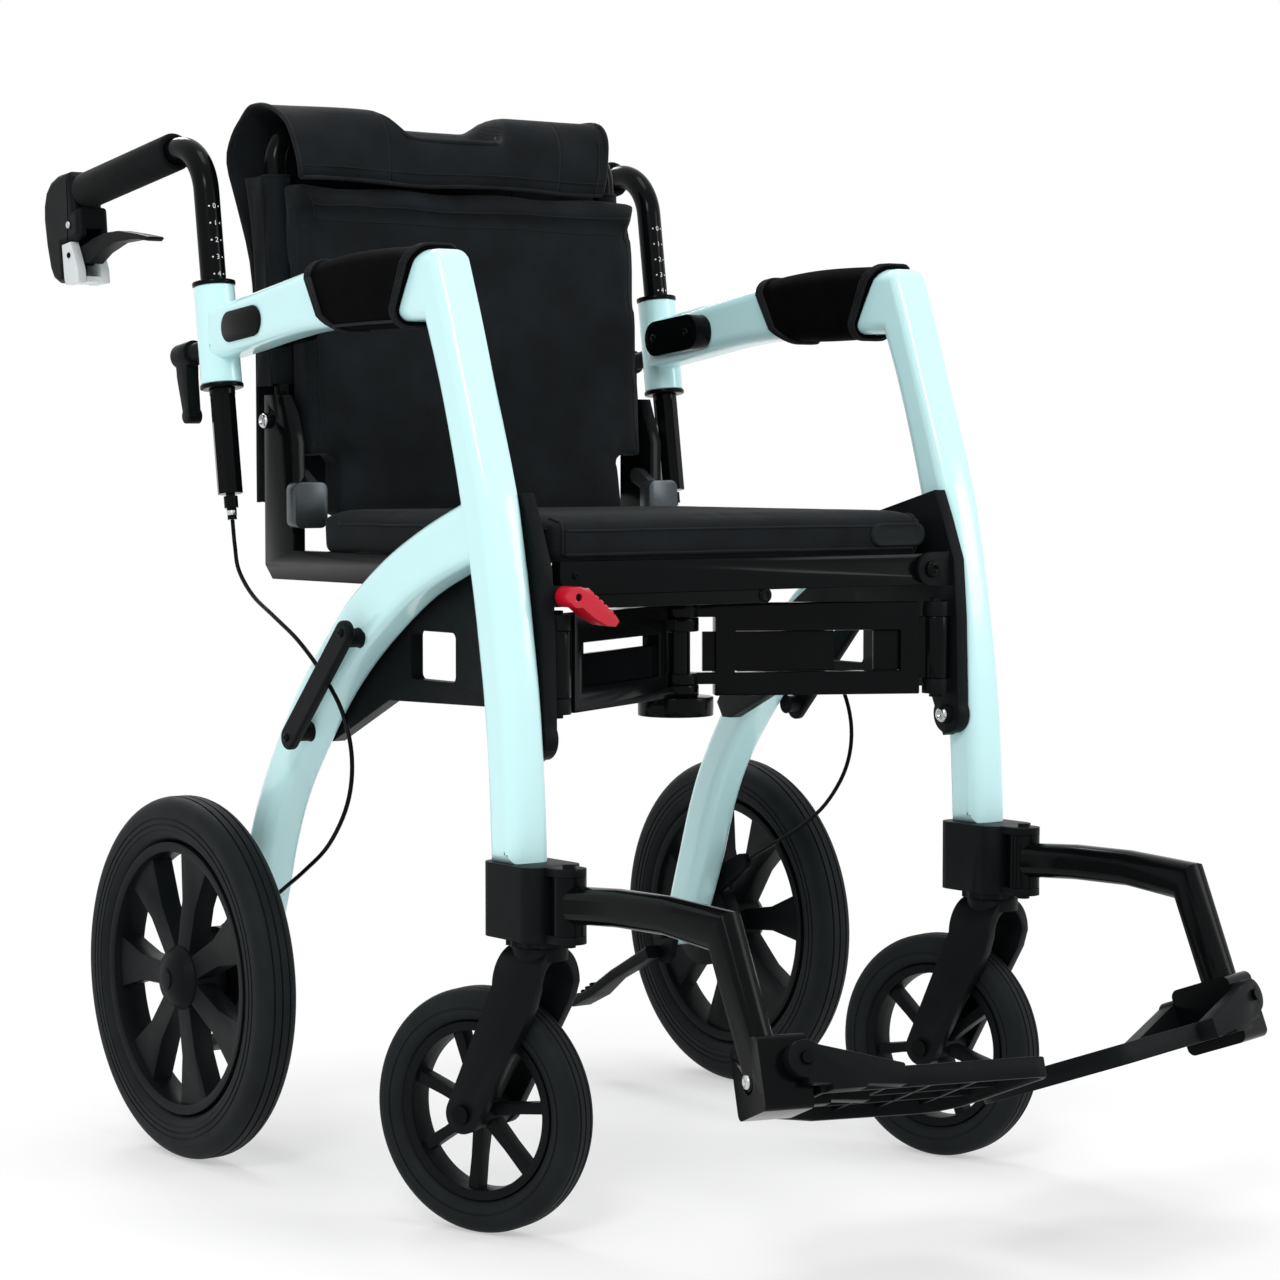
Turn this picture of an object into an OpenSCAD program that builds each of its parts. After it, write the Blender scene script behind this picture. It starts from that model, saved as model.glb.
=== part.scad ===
// Rollator transport chair: folding frame on two rear wheels and two casters.
// Lengths are in millimetres, +Z is up, -Y is forward and +X is the sitter's left.

/* [Side frame] */
// Middle of each side frame from the middle of the chair
side_x = 233.5; // [225:0.5:245]
// Width of the frame tube across the chair
tube_w = 36; // [32:1:40]
// Depth of the armrest tube
armrest_d = 52; // [46:1:56]
// Depth of the front leg at its foot
leg_d = 31; // [28:1:36]
// Depth of the rear arch where it leaves the front leg
arch_d_front = 46; // [40:1:50]
// Depth of the rear arch at the axle
arch_d_rear = 33; // [30:1:38]
// Radius of the rear arch along its middle
arch_r = 436; // [430:1:442]
// Corner radius of the frame tube
tube_corner = 10; // [6:1:12]
// Height of the armrest corner above the floor
corner_z = 726; // [710:1:740]
// Distance of the armrest corner ahead of the rear axle
corner_fwd = 311; // [300:1:318]

/* [Handles] */
// Lean of the handle stem towards the back
stem_tilt = 8.2; // [5:0.1:12]
// Radius of the handle tube
stem_r = 11; // [10:0.5:12]
// Outer radius of the sleeve
sleeve_r = 17.5; // [16:0.5:20]
// Length of the sleeve
sleeve_l = 84; // [70:1:95]
// Length of stem below the sleeve
stem_below = 94; // [85:1:110]
// Height of the grip axis above the sleeve's foot
grip_rise = 211; // [190:1:220]
// Bend radius of the handle
handle_bend = 45; // [38:1:55]
// Radius of the foam grip
grip_r = 16.5; // [15:0.5:18]
// Length of the foam grip
grip_l = 166; // [130:1:180]

/* [Wheels] */
// Radius of the rear wheel
rear_r = 152; // [140:1:160]
// Middle of the rear wheel from the middle of the chair
rear_x = 293; // [288:1:300]
// Width of the rear tyre
rear_w = 36; // [30:1:40]
// Radius of the front wheel
front_r = 93.4; // [85:0.2:100]
// Width of the front tyre
front_w = 32; // [26:1:34]
// Distance of the front axle behind the swivel axis
trail = 52; // [45:1:55]
// Spokes in each wheel
spokes = 7; // [5:1:9]
// Swivel axis of the caster from the middle of the chair
caster_x = 230; // [226:0.5:234]
// Swivel axis of the caster ahead of the rear axle
caster_fwd = 421; // [415:1:430]
// Turn of the right caster
yaw_right = 19.8; // [0:0.1:30]
// Turn of the left caster
yaw_left = 12.7; // [0:0.1:30]

/* [Seat and back] */
// Height of the seat cushion's top
seat_z = 552; // [545:1:560]
// Thickness of the seat cushion
cushion_t = 44; // [36:1:46]
// Width of the seat cushion
cushion_w = 386; // [360:1:392]
// Front edge of the cushion ahead of the rear axle
seat_fwd = 384; // [375:1:388]
// Middle of each back post from the middle of the chair
post_x = 190; // [186:0.5:192]
// Radius of the back tube
cane_r = 10; // [8:0.5:11]
// Height of the top of the back cover
back_top = 890; // [880:1:920]
// Width of the back panel
panel_w = 368; // [340:1:372]

/* [Cross frame] */
// Length of each folding arm between its two pivots
arm_l = 218; // [214:0.5:222]
// Height of the underside of the lower rail
arm_low = 392; // [385:1:398]
// Height of the top of the upper rail
arm_high = 468; // [460:1:470]
// Width of the folding rails
rail_w = 16; // [12:1:18]
// Radius of the pivot pins
pin_r = 5; // [4:0.5:6]

/* [Footrests] */
// Front of the footplate's hinge block ahead of the rear axle
foot_fwd = 712; // [705:1:720]
// Height of the footplate's front edge
foot_z = 168; // [162:1:174]
// Turn of the footplates, inner ends forward
foot_toe = 16; // [8:1:18]
// Rise of the footplate towards its front edge
foot_pitch = 20; // [15:1:28]
// Depth of the footplate from toe to heel
foot_d = 146; // [130:1:150]
// Gap between each footplate's inner end and the middle of the chair
foot_gap = 27; // [20:1:40]

/* [Hidden] */
RIGHT = -1;
LEFT = 1;
$fn = 48;

// Clearances: a running shaft, two faces that pass each other, and a seated face
run_gap = 0.05;
face_gap = 0.3;
seat_gap = 0.2;

// The origin is on the floor under the middle of the chair's length
handle_reach = 284;
handle_drop = 14;
stem_foot_y = 38;
stem_foot_z = 649;
grip_root_y = stem_foot_y + grip_rise * sin(stem_tilt);
rear_reach = grip_root_y + handle_reach * cos(stem_tilt) - handle_drop * sin(stem_tilt);
plate_ear = 13;
plate_pivot_x = 218;
plate_pivot_z = 8;
plate_chamfer = 12;
wall_h = 15;
front_reach = foot_fwd + (plate_pivot_x - foot_gap - plate_chamfer) * sin(foot_toe)
    + wall_h * sin(foot_pitch) * cos(foot_toe);
axle_y = (front_reach - rear_reach) / 2;

// Side frame stations in the plane of the frame
corner = [-corner_fwd, corner_z];
mitre_ang = 137.8;
mitre_d = 73;
leg_foot = [-407, 268];
leg_knee = [-404, 474];
leg_steps = 8;
arch_c = [-441, 110];
arch_start = 80;
arch_end = 21.5;
arch_steps = 9;
armrest_slope = 5.9;
armrest_end = corner + [corner_fwd + 40, -(corner_fwd + 40) * tan(armrest_slope)];
inner_x = side_x - tube_w / 2;
outer_x = side_x + tube_w / 2;
stem_x = side_x + 3;

// Leg socket and the footrest's swing pivot
socket_w = 52;
socket_low = 228;
socket_high = 284;
socket_front = -446;
socket_back = -378;
ring_h = 5;
swing_y = socket_front - 12;
swing_r = 13;
caster_y = -caster_fwd;
caster_pin_r = 6;
crown_z = socket_low - ring_h - 1;

// Side bracket and folding arms
bracket_t = 12;
bracket_x = inner_x - bracket_t;
barrel_r = 11;
hinge_x = bracket_x - barrel_r;
hinge_y = -390;
post_y = hinge_y + sqrt(arm_l * arm_l - hinge_x * hinge_x);
arm_angle = acos(hinge_x / arm_l);
knuckle_h = 12;
rail_upper_h = 23;
rail_lower_h = 19;
hub_r = 19;
hub_pin_r = 12;
rail_clear = 32;
web_t = 6;
web_slot = 9;
boss_r = 31;
boss_low = 376;

// Seat rails, back posts and cover
rail_t = 12;
side_rail_low = 483;
side_rail_high = seat_z - cushion_t;
post_back = 36;
post_front = -10;
post_top = 640;
cane_foot = [34, 612];
cane_lean = 4.3;
cane_bend = 38;
cane_inward = 44;
cover_t = 5;
cane_top = cane_foot[1] + (back_top - cover_t - cane_r - face_gap - cane_foot[1]) / cos(cane_lean);
seat_back = -28;
front_rail_h = 26;
front_rail_z = seat_z - cushion_t - front_rail_h / 2;
front_rail_gap = 13;
rail_pivot_x = post_x - 7;
release_pivot = [-bracket_x + 9, 482];

// Brake lever in the frame of the handle
lever_pivot = [226, -57];
lever_w = 15;
lever_pin_r = 3;

function bez(a, b, c, t) = (1 - t) * (1 - t) * a + 2 * t * (1 - t) * b + t * t * c;
function bez_dir(a, b, c, t) = (1 - t) * (b - a) + t * (c - b);
function unit(v) = v / norm(v);

// Points of a rounded rectangle, anticlockwise
function rounded(w, d, r, n = 3) = [for (q = [0:3]) for (i = [0:n])
    let (a = 90 * q + 90 * i / n, sx = (q == 0 || q == 3) ? 1 : -1, sy = q < 2 ? 1 : -1)
    [sx * (w / 2 - r) + r * cos(a), sy * (d / 2 - r) + r * sin(a)]];

// Ring of a section in the plane of the frame: p is [y, z] and ang the way of its depth
function frame_ring(x, p, ang, w, d, r = tube_corner) = [for (q = rounded(w, d, r))
    [x + q[0], p[0] + q[1] * cos(ang), p[1] + q[1] * sin(ang)]];

// Ring of a round tube at p, square to the direction t
function tube_ring(p, t, r, n) = let (u = unit(cross(t, [0.9, 0.3, 0.31])), v = cross(t, u))
    [for (i = [0:n - 1]) p + r * cos(360 * i / n) * u + r * sin(360 * i / n) * v];

// Direction of a route at its point i
function route_dir(pts, i) = unit(pts[min(i + 1, len(pts) - 1)] - pts[max(i - 1, 0)]);

// Solid skinned over rings of equal count
module skin(rings) {
    n = len(rings[0]);
    m = len(rings);
    sides = [for (k = [0:m - 2]) for (i = [0:n - 1]) let (j = (i + 1) % n)
        each [[k * n + i, (k + 1) * n + i, (k + 1) * n + j], [k * n + i, (k + 1) * n + j, k * n + j]]];
    foot = [[for (i = [0:n - 1]) i]];
    head = [[for (i = [n - 1:-1:0]) (m - 1) * n + i]];
    polyhedron(points = [for (r = rings) each r], faces = concat(sides, foot, head), convexity = 8);
}

// Cord along a route
module cord(pts, r, n = 8) {
    skin([for (i = [0:len(pts) - 1]) tube_ring(pts[i], route_dir(pts, i), r, n)]);
}

// Puts a left-hand piece on its side of the chair
module side(s) {
    translate([0, axle_y, 0]) {
        if (s == LEFT) children();
        else mirror([1, 0, 0]) children();
    }
}

// Cylinder along X from x0 to x1 at [y, z]
module bar_x(x0, x1, p, r) {
    translate([x0, p[0], p[1]]) rotate([0, 90, 0]) cylinder(r = r, h = x1 - x0);
}

// Outline in the [y, z] plane, pushed from x0 to x1
module slab(x0, x1) {
    translate([x0, 0, 0]) rotate([90, 0, 90]) linear_extrude(x1 - x0) children();
}

// Rectangle with exact round corners, from low to high corner
module round_rect(low, high, r) {
    translate([low[0] + r, low[1]]) square([high[0] - low[0] - 2 * r, high[1] - low[1]]);
    translate([low[0], low[1] + r]) square([high[0] - low[0], high[1] - low[1] - 2 * r]);
    for (x = [low[0] + r, high[0] - r]) for (y = [low[1] + r, high[1] - r]) translate([x, y]) circle(r);
}

// Frame of the handle stem: Z runs up the stem from the foot of the sleeve
module stem_frame() {
    translate([stem_x, stem_foot_y, stem_foot_z]) rotate([-stem_tilt, 0, 0]) children();
}

// Frame of the grip: Y runs back along the grip from where its axis meets the stem
module grip_frame() {
    stem_frame() translate([0, 0, grip_rise]) children();
}

// Frame of the footplate: Y runs from toe to heel, Z is square to the tread
module plate_frame() {
    translate([plate_pivot_x, -foot_fwd, foot_z]) rotate([0, 0, foot_toe]) rotate([-foot_pitch, 0, 0])
        translate([-plate_pivot_x, 0, 0]) children();
}

// Side frame: front leg, armrest, rear arch, sleeve and axle boss in one weldment
module armrest_and_leg() {
    leg = [for (i = [0:leg_steps]) let (t = i / leg_steps, p = bez(corner, leg_knee, leg_foot, t),
        v = bez_dir(corner, leg_knee, leg_foot, t), a = atan2(v[1], v[0]) - 90)
        i == 0 ? frame_ring(side_x, p, mitre_ang, tube_w, mitre_d)
            : frame_ring(side_x, p, a, tube_w, leg_d + 14 * (1 - t))];
    skin(concat([frame_ring(side_x, armrest_end, 90 - armrest_slope, tube_w, armrest_d)], leg));
}
arch_w = tube_w - 0.6;
module arch_tube() {
    last = [0, rear_r];
    turn = [for (i = [0:arch_steps]) let (t = i / arch_steps, a = arch_start + t * (arch_end - arch_start))
        frame_ring(side_x, arch_c + arch_r * [cos(a), sin(a)], a - 180, arch_w,
            arch_d_front + t * (arch_d_rear - arch_d_front))];
    skin(concat(turn, [frame_ring(side_x, last, arch_end - 182, arch_w, arch_d_rear)]));
}
axle_r = 6;
module side_frame(s) color("lightcyan") side(s) difference() {
    union() {
        armrest_and_leg();
        arch_tube();
        stem_frame() cylinder(r = sleeve_r, h = sleeve_l);
        bar_x(inner_x, outer_x, [0, rear_r], arch_d_rear / 2 + 2);
    }
    stem_frame() translate([0, 0, -50]) cylinder(r = stem_r + run_gap, h = sleeve_l + 100);
    bar_x(inner_x - 5, outer_x + 5, [0, rear_r], axle_r);
    translate([side_x - 60, -500, 0]) cube([120, 200, socket_high]);
}

// Neoprene wrap round the front of the armrest
pad_from = 34;
pad_l = 118;
pad_t = 4;
module armrest_pad(s) color("dimgray") side(s)
    translate([side_x, corner[0], corner[1]]) rotate([-armrest_slope, 0, 0])
    translate([0, pad_from + pad_l, 0]) rotate([90, 0, 0]) linear_extrude(pad_l) difference() {
        square_w = tube_w + 2 * pad_t;
        square_d = armrest_d + 9 + 2 * pad_t;
        round_rect([-square_w / 2, -square_d / 2], [square_w / 2, square_d / 2], tube_corner + pad_t);
        round_rect([-tube_w / 2 - seat_gap, -armrest_d / 2 - 4.5], [tube_w / 2 + seat_gap, armrest_d / 2 + 4.5],
            tube_corner);
    }

// Collars on the sleeve, the oval plug in the armrest and the back's holder inside it
collar_h = 4;
holder_l = 78;
holder_d = 32;
module frame_plugs(s) color("black") side(s) {
    for (z = [-collar_h, sleeve_l]) stem_frame() translate([0, 0, z]) difference() {
        cylinder(r = sleeve_r + 1, h = collar_h);
        translate([0, 0, -1]) cylinder(r = stem_r + run_gap, h = collar_h + 2);
    }
    plug_mid = [-22, 698];
    translate([outer_x, plug_mid[0], plug_mid[1]]) rotate([-armrest_slope, 0, 0])
        slab(0, 2) round_rect([-32, -13], [32, 13], 12.9);
    translate([inner_x - 18, plug_mid[0], plug_mid[1]]) rotate([-armrest_slope, 0, 0])
        slab(0, 18 - face_gap) round_rect([-holder_l / 2, -holder_d / 2], [holder_l / 2, holder_d / 2], 15);
}

// Plate inside the leg that carries the folding arms, with its knuckles and pin
bracket_fin = 560;
bracket_bolt = [-392, 374];
module bracket_outline() {
    difference() {
        union() {
            polygon([[-376, bracket_fin], [-306, 542], [-260, 505], [-190, 460], [-92, 378], [-84, 366],
                [-92, 353], [-104, 353], [-190, 392], [-370, 396], [-388, 356], [-406, 366], [-406, 387],
                [-404, 455], [-400, 503], [-386, 538]]);
            translate(bracket_bolt) circle(16);
        }
        round_rect([-286, 411], [-222, 450], 5);
    }
}
module side_bracket(s) color("black") side(s) {
    slab(bracket_x, inner_x - face_gap) bracket_outline();
    for (z = [arm_low, arm_high - knuckle_h]) difference() {
        union() {
            translate([hinge_x, hinge_y, z]) cylinder(r = barrel_r, h = knuckle_h);
            translate([hinge_x, hinge_y - 7, z]) cube([barrel_r + 1, 14, knuckle_h]);
        }
        translate([hinge_x, hinge_y, z - 1]) cylinder(r = pin_r, h = knuckle_h + 2);
    }
    translate([hinge_x, hinge_y, arm_low - 3]) cylinder(r = pin_r, h = arm_high - arm_low + 6);
    bar_x(bracket_x - 4, bracket_x, bracket_bolt, 8);
    if (s == RIGHT) {
        translate([bracket_x - 17, hinge_y - 11.5, release_pivot[1] - 8]) cube([18, 9, 16]);
        translate([-release_pivot[0], hinge_y - 30, release_pivot[1]]) rotate([-90, 0, 0])
            cylinder(r = 3, h = 20);
    }
    if (s == LEFT) {
        translate([0, -seat_fwd - 12, front_rail_z]) rotate([-90, 0, 0])
            linear_extrude(4) hull() {
                translate([rail_pivot_x, 0]) circle(front_rail_h / 2 + 1, $fn = 32);
                translate([bracket_x - 1, -14]) square([3, 28]);
            }
        translate([rail_pivot_x, -seat_fwd - 9, front_rail_z]) rotate([-90, 0, 0]) cylinder(r = pin_r, h = 21);
    }
}

// Back post: seat side rail, upright plate and the tube that carries the cover
module back_post(s) color("black") side(s) {
    x0 = post_x - rail_t / 2;
    slab(x0, x0 + rail_t) {
        polygon([[-366, side_rail_low], [post_back - 12, side_rail_low], [post_back, side_rail_low + 12],
            [post_back, post_top], [post_front + 16, post_top], [post_front, 600], [post_front, side_rail_high],
            [-366, side_rail_high]]);
    }
    translate([x0 + rail_t, -340, side_rail_low + 4]) cube([bracket_x - x0 - rail_t - 0.1, 30, 14]);
    translate([post_x, cane_foot[0], cane_foot[1]]) rotate([-cane_lean, 0, 0]) {
        h = cane_top - cane_foot[1] - cane_bend;
        translate([-rail_t / 2 - cane_r + 1, 0, 0]) {
            cylinder(r = cane_r, h = h);
            translate([-cane_bend, 0, h]) rotate([90, 0, 0])
                rotate_extrude(angle = 90) translate([cane_bend, 0]) circle(cane_r);
            translate([-cane_bend, 0, h + cane_bend]) rotate([0, -90, 0]) cylinder(r = cane_r, h = cane_inward);
        }
    }
    bar_x(x0 + rail_t, x0 + rail_t + 4, [cane_foot[0] - 6, cane_foot[1] + 6], 7);
}

// Paddle that frees the back from its post
latch_pivot = [4, 571];
paddle_low = [post_x - 19, 527];
paddle_high = [post_x + 13, 566];
paddle_t = 14.5;
module back_latch(s) color("gray") side(s) {
    x1 = post_x - rail_t / 2 - face_gap;
    bar_x(x1 - 8, x1, latch_pivot, 6);
    slab(x1 - 8, x1) polygon([[9, 574], [-2, 576.5], [-24, 562], [-24, 540], [-13, 540],
        [-11.6, 556], [8, 565]]);
    translate([0, post_front - 1.5, 0]) rotate([90, 0, 0]) linear_extrude(paddle_t)
        round_rect(paddle_low, paddle_high, 7);
}

// Bar on the outside of the arch that keeps the brake cable in
guard_top = [-201, 454];
guard_low = [-112, 371];
module leg_guard(s) color("black") side(s) {
    for (p = [guard_top, guard_low]) bar_x(outer_x, outer_x + 18, p, 5.5);
    slab(outer_x + 16, outer_x + 23) {
        d = unit(guard_low - guard_top);
        w = 8 * [-d[1], d[0]];
        polygon([guard_top + w, guard_low + w, guard_low - w, guard_top - w]);
        for (p = [guard_top, guard_low]) translate(p) circle(9.5);
    }
}

// Socket at the foot of the leg, with the footrest's lugs and the detent ring
module leg_socket(s) color("black") side(s) difference() {
    x0 = caster_x + 1 - socket_w / 2;
    union() {
        translate([0, 0, socket_low]) linear_extrude(socket_high - socket_low)
            round_rect([x0, socket_front], [x0 + socket_w, socket_back], 14);
        for (z = [socket_low, socket_high - 6]) translate([0, 0, z]) linear_extrude(6) {
            translate([caster_x, swing_y]) circle(swing_r);
            translate([caster_x - swing_r, swing_y]) square([2 * swing_r, 20]);
        }
        translate([caster_x, swing_y, socket_low - 3]) cylinder(r = pin_r, h = socket_high - socket_low + 6);
        translate([caster_x, caster_y, socket_low - ring_h]) cylinder(r = 24, h = ring_h + 1);
        for (a = [0:30:330]) translate([caster_x, caster_y, socket_low - ring_h]) rotate([0, 0, a])
            translate([23, 0, 0]) cylinder(r = 3, h = ring_h + 1, $fn = 16);
    }
    translate([caster_x, caster_y, socket_low - ring_h - 1]) cylinder(r = caster_pin_r + run_gap, h = 46);
    translate([0, 0, socket_low + 6]) linear_extrude(socket_high - socket_low - 12) {
        translate([caster_x, swing_y]) difference() {
            circle(swing_r + face_gap);
            circle(pin_r);
        }
    }
}

// Drum brake between the leg and the wheel, on the stub axle
drum_r = 40;
brake_arm = [-58, rear_r + 62];
drum_w = 16;
module brake_unit(s) color("black") side(s) {
    bar_x(outer_x + face_gap, outer_x + drum_w, [0, rear_r], drum_r);
    bar_x(inner_x - 16, rear_x + 10, [0, rear_r], axle_r);
    bar_x(inner_x - 16, inner_x - 7 - face_gap, [0, rear_r], 11);
    slab(outer_x + face_gap, outer_x + 7) hull() {
        translate([0, rear_r + 30]) circle(12, $fn = 32);
        translate(brake_arm) circle(8, $fn = 32);
    }
}

// Lever for the attendant's foot, at the lower end of the arch
module tip_pedal(s) color("black") side(s) {
    pedal = [[6, 128], [30, 116], [62, 100], [92, 80], [122, 66]];
    x = inner_x - 15;
    skin([for (i = [0:4]) let (v = pedal[min(i + 1, 4)] - pedal[max(i - 1, 0)])
        frame_ring(x, pedal[i], atan2(v[1], v[0]) - 90, i > 2 ? 26 : 18, 12 - i, 3)]);
    for (i = [0:4]) translate([x - 12, 88 + 7 * i, 87 - 4.2 * i]) rotate([-30, 0, 0]) cube([24, 3, 3]);
    slab(inner_x - 7, inner_x - face_gap) difference() {
        union() {
            translate([0, rear_r]) circle(16);
            polygon([[-14, rear_r - 6], [14, rear_r - 6], [18, 122], [2, 116], [-8, 124]]);
        }
        translate([0, rear_r]) circle(axle_r + seat_gap);
    }
}

// Brake cable from the stem's adjuster down behind the guard to the drum
cable_r = 1.8;
adjuster_l = 22;
cable_drop = stem_below + adjuster_l + face_gap + 0.2;
cable_top = [stem_x, stem_foot_y - cable_drop * sin(stem_tilt), stem_foot_z - cable_drop * cos(stem_tilt)];
cable_points = [[238, 15, 512], [243, 0, 492], [250, -35, 472], [256, -80, 456], [260, -125, 438],
    [260, -163, 412], [260, -192, 383], [260, -205, 348], [260, -198, 312], [260, -170, 277], [260, -132, 252],
    [258, -95, 233]];
module brake_cable(s) color("black") side(s)
    cord(concat([cable_top], cable_points, [[255.5, brake_arm[0] - 4, brake_arm[1] + 2]]), cable_r);

// Handle: stem, bend and the tube under the grip, with the cable's adjuster
module handle_tube(s) color("black") side(s) {
    stem_frame() {
        translate([0, 0, -stem_below]) cylinder(r = stem_r, h = stem_below - 8, $fn = 8);
        translate([0, 0, -9]) cylinder(r = stem_r, h = grip_rise - handle_bend + 9);
        translate([0, 0, -stem_below - adjuster_l]) cylinder(r = 4, h = adjuster_l + 1);
        translate([0, 0, -stem_below - 12]) cylinder(r = 6, h = 10);
        translate([0, handle_bend, grip_rise - handle_bend]) rotate([90, 0, -90])
            rotate_extrude(angle = 90) translate([handle_bend, 0]) circle(stem_r);
        translate([0, handle_bend, grip_rise]) rotate([-90, 0, 0]) cylinder(r = stem_r, h = 240 - handle_bend);
    }
}
module grip(s) color("dimgray") side(s) grip_frame()
    translate([0, 213 - grip_l, 0]) rotate([-90, 0, 0]) difference() {
        cylinder(r = grip_r, h = grip_l);
        translate([0, 0, -1]) cylinder(r = stem_r + run_gap, h = grip_l + 2);
    }

// Housing behind the grip, with the bracket under the grip that the lever works in
housing_w = 32;
module brake_housing(s) color("black") side(s) grip_frame() difference() {
    slab(-housing_w / 2, housing_w / 2)
        polygon([[213.3, -16.8], [213.3, 16], [222, 20], [259, 20], [275, 13], [handle_reach, -handle_drop],
            [281, -46], [273, -71], [265, -76], [239, -76], [239, -45], [214, -45], [205, -41], [204, -16.8]]);
    translate([0, 213, 0]) rotate([-90, 0, 0]) cylinder(r = stem_r + run_gap, h = 28);
    translate([-lever_w / 2 - face_gap, 198, -90]) cube([lever_w + 2 * face_gap, 35, 54]);
}

// Pale wedge under the bracket, whose two cheeks carry the lever's pin
module brake_cap(s) color("lightgray") side(s) grip_frame() {
    cheek = (housing_w - lever_w) / 2 - face_gap;
    for (x = [-housing_w / 2, lever_w / 2 + face_gap]) slab(x, x + cheek)
        polygon([[238.7, -45.3], [222, -45.3], [216, -60], [212, -72], [212, -84], [237, -82], [238.7, -76]]);
    bar_x(-housing_w / 2 + 0.5, housing_w / 2 - 0.5, lever_pivot, lever_pin_r);
    slab(-housing_w / 2 + 0.5, housing_w / 2 - 0.5)
        polygon([[214, -78], [213, -83], [236, -81.5], [237.5, -76.5]]);
}

// Brake lever under the grip, thick at its root and curved up to its tip
module brake_lever(s) color("black") side(s) grip_frame() difference() {
    union() {
        bar_x(-lever_w / 2, lever_w / 2, lever_pivot, 9);
        slab(-lever_w / 2, lever_w / 2) polygon([[228, -51], [196, -47], [173, -46.5], [148, -49.5], [114, -59],
            [93, -65.5], [91.5, -67.5], [96, -69], [114, -64], [129, -61.5], [157, -58.5], [187, -62],
            [206, -68], [222, -64]]);
    }
    bar_x(-lever_w, lever_w, lever_pivot, lever_pin_r + run_gap);
}

// Clamping lever on the back of the sleeve
clamp_z = 34;
module clamp_lever(s) color("black") side(s) stem_frame() translate([0, 0, clamp_z]) {
    translate([0, sleeve_r + face_gap, 0]) rotate([-90, 0, 0]) cylinder(r = 8, h = 34);
    translate([0, sleeve_r + 24, 0]) rotate([-90, 0, 0]) cylinder(r = 11, h = 24);
    slab(-6, 6) polygon([[sleeve_r + 29, -4], [sleeve_r + 48, 4], [sleeve_r + 48, -18], [sleeve_r + 42, -52],
        [sleeve_r + 32, -52], [sleeve_r + 31, -20]]);
    bar_x(-6.5, 6.5, [sleeve_r + 37, -53], 6.5);
}

// Wheels, turned about X through their own middle
module spoke_ring(r0, r1, w0, w1, w2, t, turn) {
    for (i = [0:spokes - 1]) rotate([0, 0, 360 * i / spokes + turn]) translate([0, 0, -t / 2]) linear_extrude(t)
        polygon([[r0, -w0 / 2], [(r0 + r1) / 2, -w1 / 2], [r1, -w2 / 2], [r1, w2 / 2], [(r0 + r1) / 2, w1 / 2],
            [r0, w0 / 2]]);
}
rear_rim_r = 114;
rear_hub_r = 27;
rear_hub_w = 44;
module rear_rim(s) color("black") side(s) translate([rear_x, 0, rear_r]) rotate([0, 90, 0]) difference() {
    union() {
        rotate_extrude($fn = 96) polygon([[rear_rim_r - 8, -14], [rear_rim_r, -15], [rear_rim_r, 15],
            [rear_rim_r - 8, 14], [rear_rim_r - 10, 0]]);
        rotate_extrude($fn = 64) {
            polygon([[0, -rear_hub_w / 2 + 2], [rear_hub_r, -rear_hub_w / 2 + 2], [rear_hub_r, 10],
                [rear_hub_r - 6, 18], [rear_hub_r - 16, rear_hub_w / 2], [0, rear_hub_w / 2 + 1]]);
        }
        spoke_ring(rear_hub_r - 4, rear_rim_r - 7, 19, 22, 46, 18, s == RIGHT ? -12 : 6);
    }
    translate([0, 0, -rear_hub_w]) cylinder(r = axle_r + run_gap, h = rear_hub_w + 11);
}
module tyre_profile(r0, r1, w, round) {
    difference() {
        round_rect([r0, -w / 2], [r1, w / 2], round);
        translate([r0 - 1, -w]) square([1.02, 2 * w]);
        for (i = [0:2]) for (k = [-1, 1])
            translate([r1 - round - 6 - 5 * i, k * w / 2 - 0.75]) square([1.8, 1.5]);
        for (i = [-1:1]) translate([r1 - 1.5, i * w / 5 - 0.8]) square([3, 1.6]);
    }
}
module rear_tyre(s) color("dimgray") side(s) translate([rear_x, 0, rear_r]) rotate([0, 90, 0])
    rotate_extrude($fn = 96) tyre_profile(rear_rim_r + run_gap, rear_r, rear_w, 13);

// Casters, each turned about its own swivel axis
module caster(s) {
    translate([s * caster_x, axle_y + caster_y, 0]) rotate([0, 0, s == LEFT ? yaw_left : yaw_right]) children();
}
fork_gap = 4;
cheek_t = 9;
fork_in = front_w / 2 + fork_gap;
fork_out = fork_in + cheek_t;
fork_spring = crown_z - fork_out;
module caster_fork(s) color("black") caster(s) difference() {
    union() {
        translate([0, 24, fork_spring]) rotate([90, 0, 0]) linear_extrude(40) difference() {
            circle(fork_out);
            circle(fork_in);
            translate([-100, -200]) square([200, 200]);
        }
        for (x = [-fork_out, fork_in]) slab(x, x + cheek_t) hull() {
            translate([-16, fork_spring]) square([40, 1]);
            translate([-12, fork_spring - 14]) square([36, 1]);
            translate([trail, front_r]) circle(15, $fn = 32);
        }
        translate([0, 0, crown_z - 10]) cylinder(r = 21, h = 10);
        translate([0, 0, crown_z - 5]) cylinder(r = caster_pin_r, h = 44);
    }
    bar_x(-60, 60, [trail, front_r], axle_r);
}
module front_axle(s) color("silver") caster(s) {
    bar_x(-fork_out, fork_out, [trail, front_r], axle_r);
    for (x = [-fork_out - 3, fork_out]) bar_x(x, x + 3, [trail, front_r], 7);
}
front_rim_r = 68;
front_hub_w = front_w + 2 * fork_gap - 0.6;
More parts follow.
